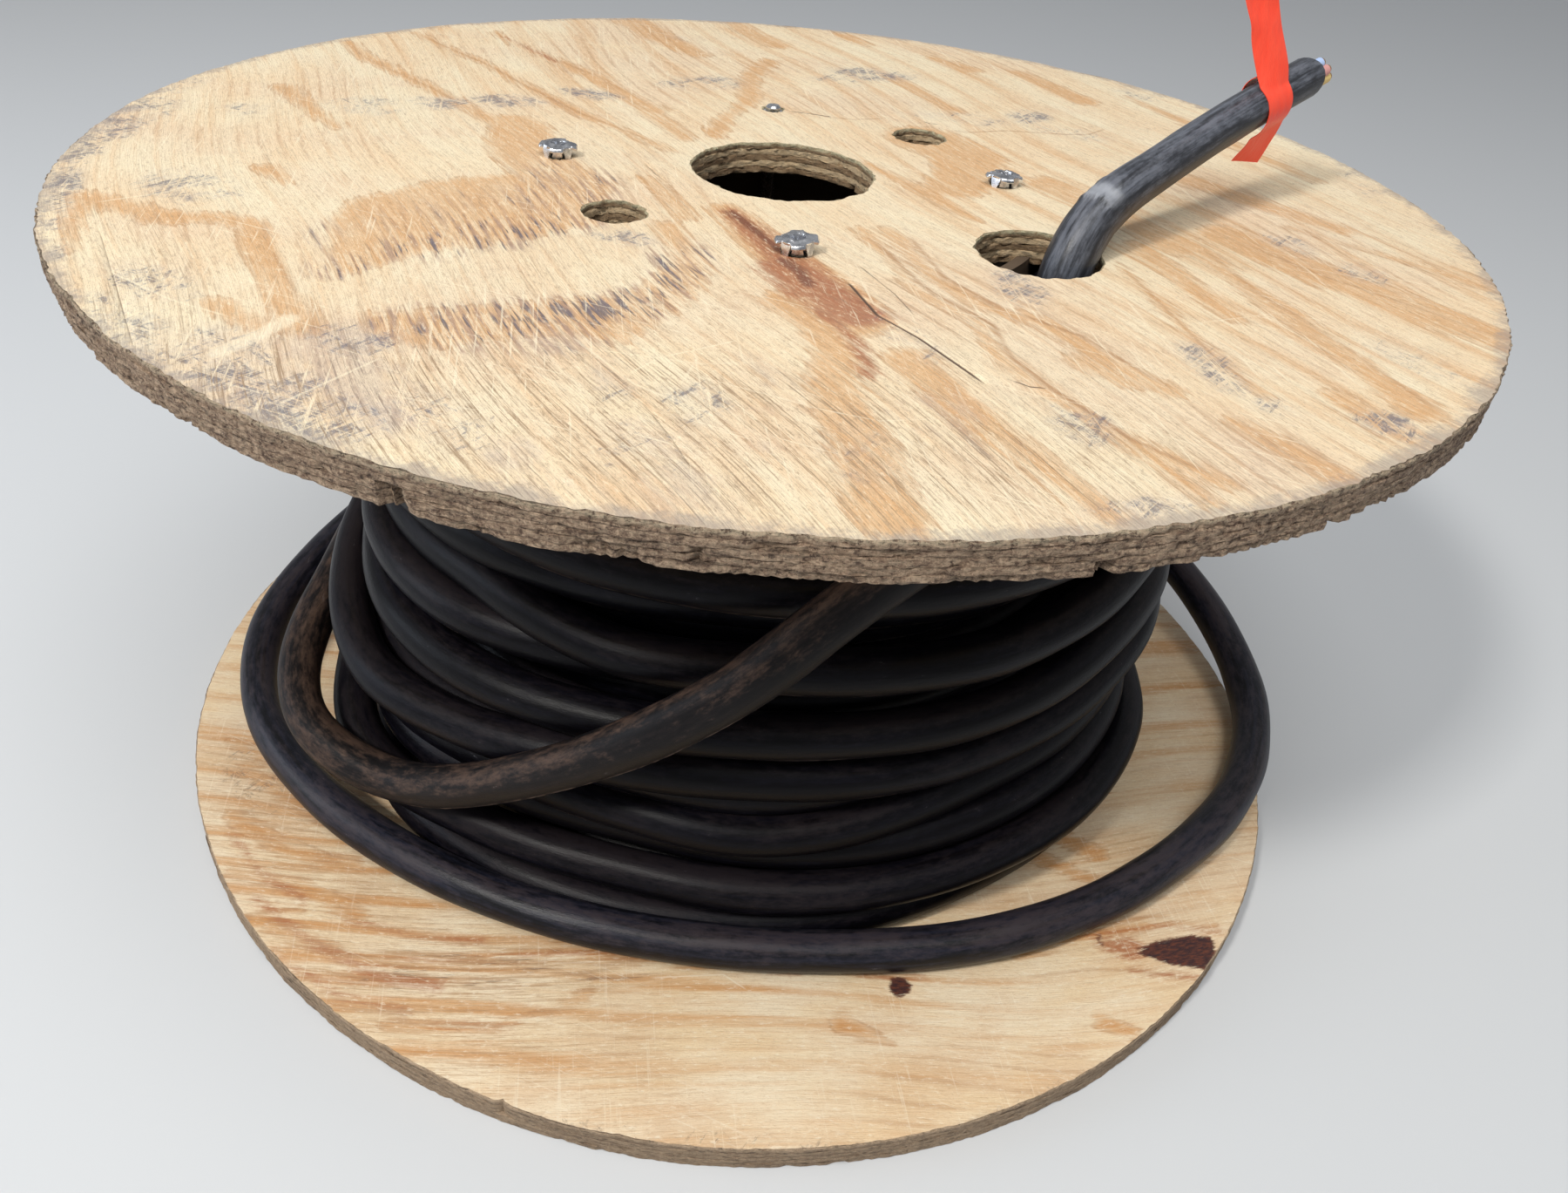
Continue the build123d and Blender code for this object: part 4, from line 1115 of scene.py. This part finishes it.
def smooth_line(route, resolution=12):
    """The smooth line that a bent cable takes along its route, in metres."""
    curve = bpy.data.curves.new("route", "CURVE")
    curve.dimensions = "3D"
    spline = curve.splines.new("NURBS")
    spline.points.add(len(route) - 1)
    for point, place in zip(spline.points, route):
        point.co = (*[value / per_metre for value in place], 1.0)
    spline.order_u = 3
    spline.use_endpoint_u = True
    spline.resolution_u = resolution
    holder = bpy.data.objects.new("route", curve)
    line = bpy.data.meshes.new_from_object(holder)
    places = np.array([vertex.co for vertex in line.vertices], float)
    bpy.data.objects.remove(holder)
    bpy.data.curves.remove(curve)
    bpy.data.meshes.remove(line)
    return places


# Where the loose turns go in between turns of the winding: degrees about the drum, radius and height.
tucked_ends = [
    [
        (98, 207, 104.3), (97, 207.3, 104), (88, 206.5, 101), (78, 201, 99), (68, 192, 98.5),
        (58, 181, 98.5), (50, 172, 98.5),
    ],
    [
        (74, 208, 123.8), (75, 207.4, 124), (80, 200, 124.5), (88, 189, 122.5), (97, 179, 120.5),
        (106, 172, 119.5),
    ],
    [
        (111, 207.5, 135), (110, 207.9, 135), (102, 208, 136.5), (93, 203, 139), (84, 194, 140),
        (75, 182, 140), (66, 172, 140),
    ],
    [
        (-32, 207.3, 286), (-31, 207.3, 286), (-24, 207.5, 286), (-14, 206, 284), (-4, 200, 279),
        (6, 189, 273), (16, 175, 271),
    ],
]
tucked_radius = cable_radius * 0.983
tucked_lumps = 0.02
loose_around = 24

# Turns below the visible ones, seen through gaps alone: the next layer's, and two further in at the top.
layer_turns = 13
lowest_height = 25
turn_pitch = 21.8
under_radius = 163
under_sway = 0.8
under_steps = 120
under_around = 14
under_turns = []
for number in range(layer_turns):
    height = lowest_height + turn_pitch * number
    sway = [under_sway * math.sin(number * 2.3 + k) for k in range(len(turn_stations))]
    under_turns.append([(under_radius + aside, height) for aside in sway])
for radius in (131, 150):
    under_turns.append([(radius, 287)] * len(turn_stations))

turn_lumps = 0.016
turn_tubes = []
for number, shape in enumerate(turn_shapes):
    turn_tubes.append((tube_rings(turn_path(shape), cable_radius, turn_lumps, number), True))
for shape in under_turns:
    rings = tube_rings(turn_path(shape, under_steps), cable_radius, count=under_around)
    turn_tubes.append((rings, True))
for number, end in enumerate(tucked_ends):
    turns, reaches, heights = np.array(end).T
    path = smooth_line(polar(reaches, np.radians(turns), heights))
    turn_tubes.append((tube_rings(path, tucked_radius, tucked_lumps, 80 + number, loose_around), False))
winding = tube_mesh("cable_winding_turns", turn_tubes)
fit_piece(winding, "cable_winding", "cable_jacket", jacket)

# The two loose turns: the same cable, slipped off the slack winding. One lies on the bottom flange
# and hangs out past its rim; the other hangs out at the left and climbs across the front.
lower_route = [
    (-25.0, 205.8, 104.0), (-78.0, 200.0, 100.0), (-131.0, 183.0, 93.0), (-181.0, 146.0, 83.0),
    (-221.0, 96.0, 71.0), (-252.0, 42.0, 57.0), (-272.0, -14.0, 43.5), (-265.0, -68.0, 32.0),
    (-237.0, -112.0, 26.0), (-191.0, -153.0, 25.0), (-134.0, -185.0, 25.0), (-72.0, -205.0, 25.0),
    (-7.0, -212.5, 25.0), (56.0, -210.0, 25.0), (121.0, -198.0, 25.0), (182.0, -170.5, 25.0),
    (237.0, -128.0, 25.0), (279.0, -80.0, 25.0), (304.0, -23.0, 27.0), (306.0, 32.0, 33.5),
    (291.0, 90.0, 45.0), (256.0, 140.0, 62.0), (209.0, 181.0, 82.0), (156.0, 208.0, 102.0),
    (104.0, 211.0, 116.0), (53.8, 200.3, 124.0),
]
upper_route = [
    (-71.0, 195.4, 135.0), (-129.0, 166.5, 134.0), (-173.0, 120.5, 131.0), (-200.0, 65.0, 124.0),
    (-210.0, 7.0, 113.0), (-217.0, -46.0, 98.0), (-222.5, -76.5, 86.5), (-222.0, -106.0, 76.5),
    (-210.0, -132.0, 67.5), (-185.0, -149.0, 60.5), (-154.0, -161.0, 60.0), (-118.0, -183.0, 84.0),
    (-72.0, -205.0, 122.0), (-30.0, -217.0, 158.0), (6.0, -220.0, 192.0), (38.0, -215.0, 228.0),
    (72.0, -203.0, 256.0), (112.0, -181.0, 274.0), (152.0, -150.0, 283.0), (177.6, -106.9, 286.0),
]
inner_route = [
    (116.0, -84.5, 297.7), (117.0, -84.0, 312.0), (128.0, -70.5, 330.0),
    (159.0, -39.0, 341.0), (193.0, -3.0, 352.5), (229.5, 31.5, 363.0),
]


press_swell = 0.25


def pressed(rings, toward, most, start, full):
    """Rings squeezed along one direction, down to the share most, between two places along the cable."""
    toward = unit(np.array(toward))
    middles = rings.mean(1, keepdims=True)
    amount = (1 - most) * smooth((gone_along(middles[:, 0]) - start) / (full - start))
    offset = rings - middles
    squeeze = (offset @ toward)[..., None] * toward * (1 + press_swell) * amount[:, None, None]
    return middles + offset * (1 + press_swell * amount)[:, None, None] - squeeze


loose_radius = cable_radius * 0.985
loose_lumps = 0.026


def loose_cable(
    name, route, node, finish, seed, resolution=12, pinches=(), press=None,
):
    """One loose length of the cable, fitted in place of its node."""
    path = smooth_line(route, resolution)
    rings = tube_rings(path, loose_radius, loose_lumps, seed, loose_around, pinches)
    if press:
        rings = pressed(rings, *press)
    piece = tube_mesh(name, [(rings, False)])
    fit_piece(piece, node, "cable_jacket", finish)
    return piece


loose_cable("lower_loose_turn_cable", lower_route, "lower_loose_turn", handled_jacket, 71)
loose_cable("upper_loose_turn_cable", upper_route, "upper_loose_turn", dusty_jacket, 72)

# The cores at the cable's cut end: four insulated copper conductors in black filler, cut a little proud of
# the jacket. Their insulation is white, pale blue, pale red and yellow.
end_line = smooth_line(inner_route)
end_place = end_line[-1]
end_ahead = unit(end_line[-1] - end_line[-2])
end_side = unit(np.cross(end_ahead, (0, 0, 1.0)))
end_up = np.cross(end_side, end_ahead)

core_corners, core_faces, core_finishes = [], [], []
core_offset = 0.0054
core_radius = 0.0025
core_around = 16
# Each core's turn about the cable, how far it stands proud and the number of its finish.
core_layout = ((66, 0.0074, 1), (24, 0.0088, 3), (-14, 0.0102, 4), (-170, 0.0060, 2))
for degrees, proud, colour in core_layout:
    turn = math.radians(degrees)
    offset = core_offset * (math.cos(turn) * end_side + math.sin(turn) * end_up)
    profile = (
        (core_radius, -0.004), (core_radius, proud), (0.0019, proud), (0.0018, proud + 0.0018),
        (0.0, proud + 0.0021),
    )
    first = len(core_corners)
    for reach, ahead in profile:
        for turn in np.linspace(0, 2 * math.pi, core_around, endpoint=False):
            spoke = reach * (math.cos(turn) * end_side + math.sin(turn) * end_up)
            core_corners.append(end_place + offset + spoke + end_ahead * ahead)
    core_faces += np.roll(ring_faces(len(profile), core_around, first)[:, ::-1], 1, 1).tolist()
    core_finishes += [colour] * (2 * core_around) + [0] * (2 * core_around)
cores = mesh_piece("cable_cores", core_corners, core_faces, crease=40)
cores.data.polygons.foreach_set("material_index", core_finishes)
for finish, colour, roughness, metallic in (
    ("copper_strands", (0.62, 0.36, 0.16), 0.35, 1.0), ("core_pale_blue", (0.42, 0.55, 0.82), 0.5, 0.0),
    ("core_white", (0.78, 0.78, 0.80), 0.5, 0.0), ("core_pale_red", (0.62, 0.30, 0.28), 0.5, 0.0),
    ("core_yellow", (0.66, 0.50, 0.20), 0.5, 0.0),
):
    plain = Finish(finish, roughness, metallic)
    plain.colour((*colour, 1))
    cores.data.materials.append(plain.material)
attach(cores, "root")

# The marker: a thin strip of flexible orange-red plastic, 19 mm wide, put round the cable near its cut end.
# One end stands up, and the other is creased over in front and hangs as a short tail.
marker_centre = np.array([
    (186.6, 11.6, 414.0), (189.8, 10.4, 405.0), (193.6, 9.0, 396.1), (197.1, 8.0, 389.3),
    (200.2, 7.0, 382.3), (205.6, 4.5, 370.9), (208.9, 2.6, 362.8), (210.6, 1.8, 357.1),
    (210.4, 2.4, 349.3), (208.7, 4.5, 340.1), (206.2, 7.0, 332.0),
]) / per_metre
marker_yaw = np.radians([-42, -43, -45, -46, -46, -45, -50, -58, -60, -60, -58])
marker_front = np.array([0.0, -0.570, 0.4835])  # the strip's width faces this place at a yaw of 0
marker_half = 0.0086
strip_bow = 0.0011
strip_ripple = 0.0004
marker_thickness = 0.0003
marker_reach = 0.0111
# The cable's heading and middle where the strip goes round it.
cable_toward = unit(np.array([0.713, 0.673, 0.198]))
cable_middle = np.array([0.2105, 0.0135, 0.3569])
band_half = 0.0056
band_slide = 0.0012


def blend_points(places, parts):
    """More places between those given, along a smooth line through them."""
    places = np.asarray(places, float)
    padded = np.concatenate([[2 * places[0] - places[1]], places, [2 * places[-1] - places[-2]]])
    made = []
    for i in range(1, len(padded) - 2):
        a, b, c, d = padded[i - 1:i + 3]
        for share in np.arange(parts) / parts:
            made.append(
                b + 0.5 * share * (c - a) + share**2 * (a - 2.5 * b + 2 * c - 0.5 * d)
                + share**3 * (1.5 * (b - c) + 0.5 * (d - a))
            )
    return np.array(made + [places[-1]])


marker_line = blend_points(marker_centre, 6)
marker_yaws = np.interp(np.linspace(0, 1, len(marker_line)), np.linspace(0, 1, len(marker_yaw)), marker_yaw)
marker_across = np.linspace(-1, 1, 15)
strip_rows = []
for index, (middle, yaw) in enumerate(zip(marker_line, marker_yaws)):
    before, after = marker_line[max(index - 1, 0)], marker_line[min(index + 1, len(marker_line) - 1)]
    down = unit(after - before)
    flat = unit(np.cross(down, unit(middle - marker_front)))
    wide = -(flat * math.cos(yaw) + np.cross(down, flat) * math.sin(yaw))
    out = np.cross(wide, down)
    bow = strip_bow * (marker_across**2 - 0.4) * math.cos(index * 0.09)
    bow = bow + strip_ripple * np.sin(index * 0.35 + marker_across * 2)
    strip_rows.append(middle + marker_across[:, None] * marker_half * wide + bow[:, None] * out)
band_rows = []
band_up = unit(np.array([0.0, 0.0, 1.0]) - cable_toward * cable_toward[2])
band_out = np.cross(cable_toward, band_up)
for turn in np.radians(np.linspace(28, 168, 24)):
    spoke = math.cos(turn) * band_up - math.sin(turn) * band_out
    slide = band_slide * math.sin(turn)
    lengthwise = (marker_across * band_half + slide)[:, None] * cable_toward
    band_rows.append(cable_middle + marker_reach * spoke + lengthwise)


def clear_of_cable(rows):
    """Rows of places, moved outwards where they would lie in the cable."""
    offset = rows - cable_middle
    lengthwise = (offset @ cable_toward)[..., None] * cable_toward
    radial = offset - lengthwise
    away = np.linalg.norm(radial, axis=-1, keepdims=True)
    return cable_middle + lengthwise + radial * np.maximum(away, marker_reach) / away


marker_corners, marker_faces = [], []
for rows in (clear_of_cable(np.array(strip_rows)), clear_of_cable(np.array(band_rows))):
    length, width = rows.shape[:2]
    down = np.gradient(rows, axis=0)
    wide = np.gradient(rows, axis=1)
    skin = unit(np.cross(wide, down))
    first, below = len(marker_corners), length * width
    marker_corners += (rows + skin * marker_thickness / 2).reshape(-1, 3).tolist()
    marker_corners += (rows - skin * marker_thickness / 2).reshape(-1, 3).tolist()
    grid = first + np.arange(below).reshape(length, width)
    under = grid + below
    over_faces = np.stack([grid[:-1, :-1], grid[:-1, 1:], grid[1:, 1:], grid[1:, :-1]], -1)
    under_faces = np.stack([under[:-1, :-1], under[1:, :-1], under[1:, 1:], under[:-1, 1:]], -1)
    marker_faces += over_faces.reshape(-1, 4).tolist() + under_faces.reshape(-1, 4).tolist()
    outline = np.concatenate([grid[0, :-1], grid[:-1, -1], grid[-1, :0:-1], grid[:0:-1, 0]])
    following = np.roll(outline, -1)
    marker_faces += np.stack([following, outline, outline + below, following + below], 1).tolist()
marker = mesh_piece("marker_ribbon", marker_corners, marker_faces, crease=60)
marker_plastic = Finish("marker_plastic", 0.36)
marker_wrinkles = marker_plastic.noise((260.0, 260.0, 60.0), 4.0, 0.65)
marker_plastic.colour(marker_plastic.mix(marker_wrinkles, (0.92, 0.055, 0.022, 1), (0.96, 0.10, 0.05, 1)))
marker_plastic.bump(marker_wrinkles, 0.0006, 0.8)
fit_piece(marker, "marker_strip", "marker_plastic", marker_plastic.material)

# The inner end: wrinkled at the bend over the start hole, and pressed flatter towards its cut.
end_pinches = (
    (0.036, 0.0016, 0.10, 5.6), (0.041, 0.0014, 0.08, 5.2), (0.046, 0.0018, 0.06, 5.8),
    (0.033, 0.002, -0.06, 2.4), (0.070, 0.008, 0.03, 2.2), (0.098, 0.010, 0.04, 0.6),
    (0.125, 0.009, 0.03, 2.6),
)
end_press = ((-0.555, 0.366, 0.749), 0.84, 0.012, 0.075)
loose_cable(
    "inner_cable_end_jacket", inner_route, "inner_cable_end", end_jacket, 73,
    30, end_pinches, end_press,
)

# The setting: a plain pale floor and soft light from a lamp at the upper left, one overhead and a cool, weak
# one low at the left.
floor_paint = Finish("pale_floor", 0.6)
floor_paint.colour((0.62, 0.64, 0.66, 1))
bpy.ops.mesh.primitive_plane_add(size=14, location=(0, 0, 0))
floor = bpy.context.object
floor.name = "floor"
floor.data.materials.append(floor_paint.material)

world = bpy.data.worlds.new("studio")
bpy.context.scene.world = world
world.use_nodes = True
world.node_tree.nodes["Background"].inputs["Color"].default_value = (0.95, 0.97, 1.0, 1)
world.node_tree.nodes["Background"].inputs["Strength"].default_value = 0.34


def lamp(name, place, aim, size, power, colour):
    """A square lamp of that size and power in watts, turned to its aim."""
    light = bpy.data.lights.new(name, "AREA")
    light.size = size
    light.energy = power
    light.color = colour
    holder = add_object(name, light)
    holder.location = place
    holder.rotation_euler = (Vector(aim) - Vector(place)).to_track_quat("-Z", "Y").to_euler()


lamp("key", (-1.5, -1.8, 2.5), (0, 0, 0.15), 0.4, 64, (1.0, 0.97, 0.92))
lamp("left_fill", (-2.0, -0.3, 0.75), (0, 0, 0.12), 0.9, 9, (0.78, 0.87, 1.0))
lamp("overhead", (0.3, -0.9, 2.7), (0, 0, 0.1), 2.0, 38, (1.0, 0.99, 0.97))

# The camera stands in front of the drum and looks down on it by 40 degrees, rolled by 5 degrees.
# Its angles, lens and shift were solved from the outlines of the flanges' rims.
photo_width = 1800
focal_pixels = 1400.46
look_down = 0.70385
camera_roll = -0.09023
camera_pan = -0.00038
camera_tilt = -0.04541
camera_distance = 2.45179 * flange_radius
shift_pixels = (50, 45)
back = Vector((0, -math.cos(look_down), math.sin(look_down)))
right = Vector((1, 0, 0))
facing = Matrix((right, back.cross(right), back))
for turn, axis in ((camera_pan, "Y"), (camera_tilt, "X"), (camera_roll, "Z")):
    facing = Matrix.Rotation(turn, 3, axis) @ facing
camera_data = bpy.data.cameras.new("camera")
camera_data.sensor_width = 36
camera_data.lens = focal_pixels * camera_data.sensor_width / photo_width
camera_data.shift_x = shift_pixels[0] / photo_width
camera_data.shift_y = shift_pixels[1] / photo_width
camera_data.clip_start = 0.01
camera = add_object("camera", camera_data)
camera.matrix_world = Matrix.Translation(back * camera_distance) @ facing.transposed().to_4x4()
bpy.context.scene.camera = camera
bpy.context.scene.view_settings.view_transform = "Standard"
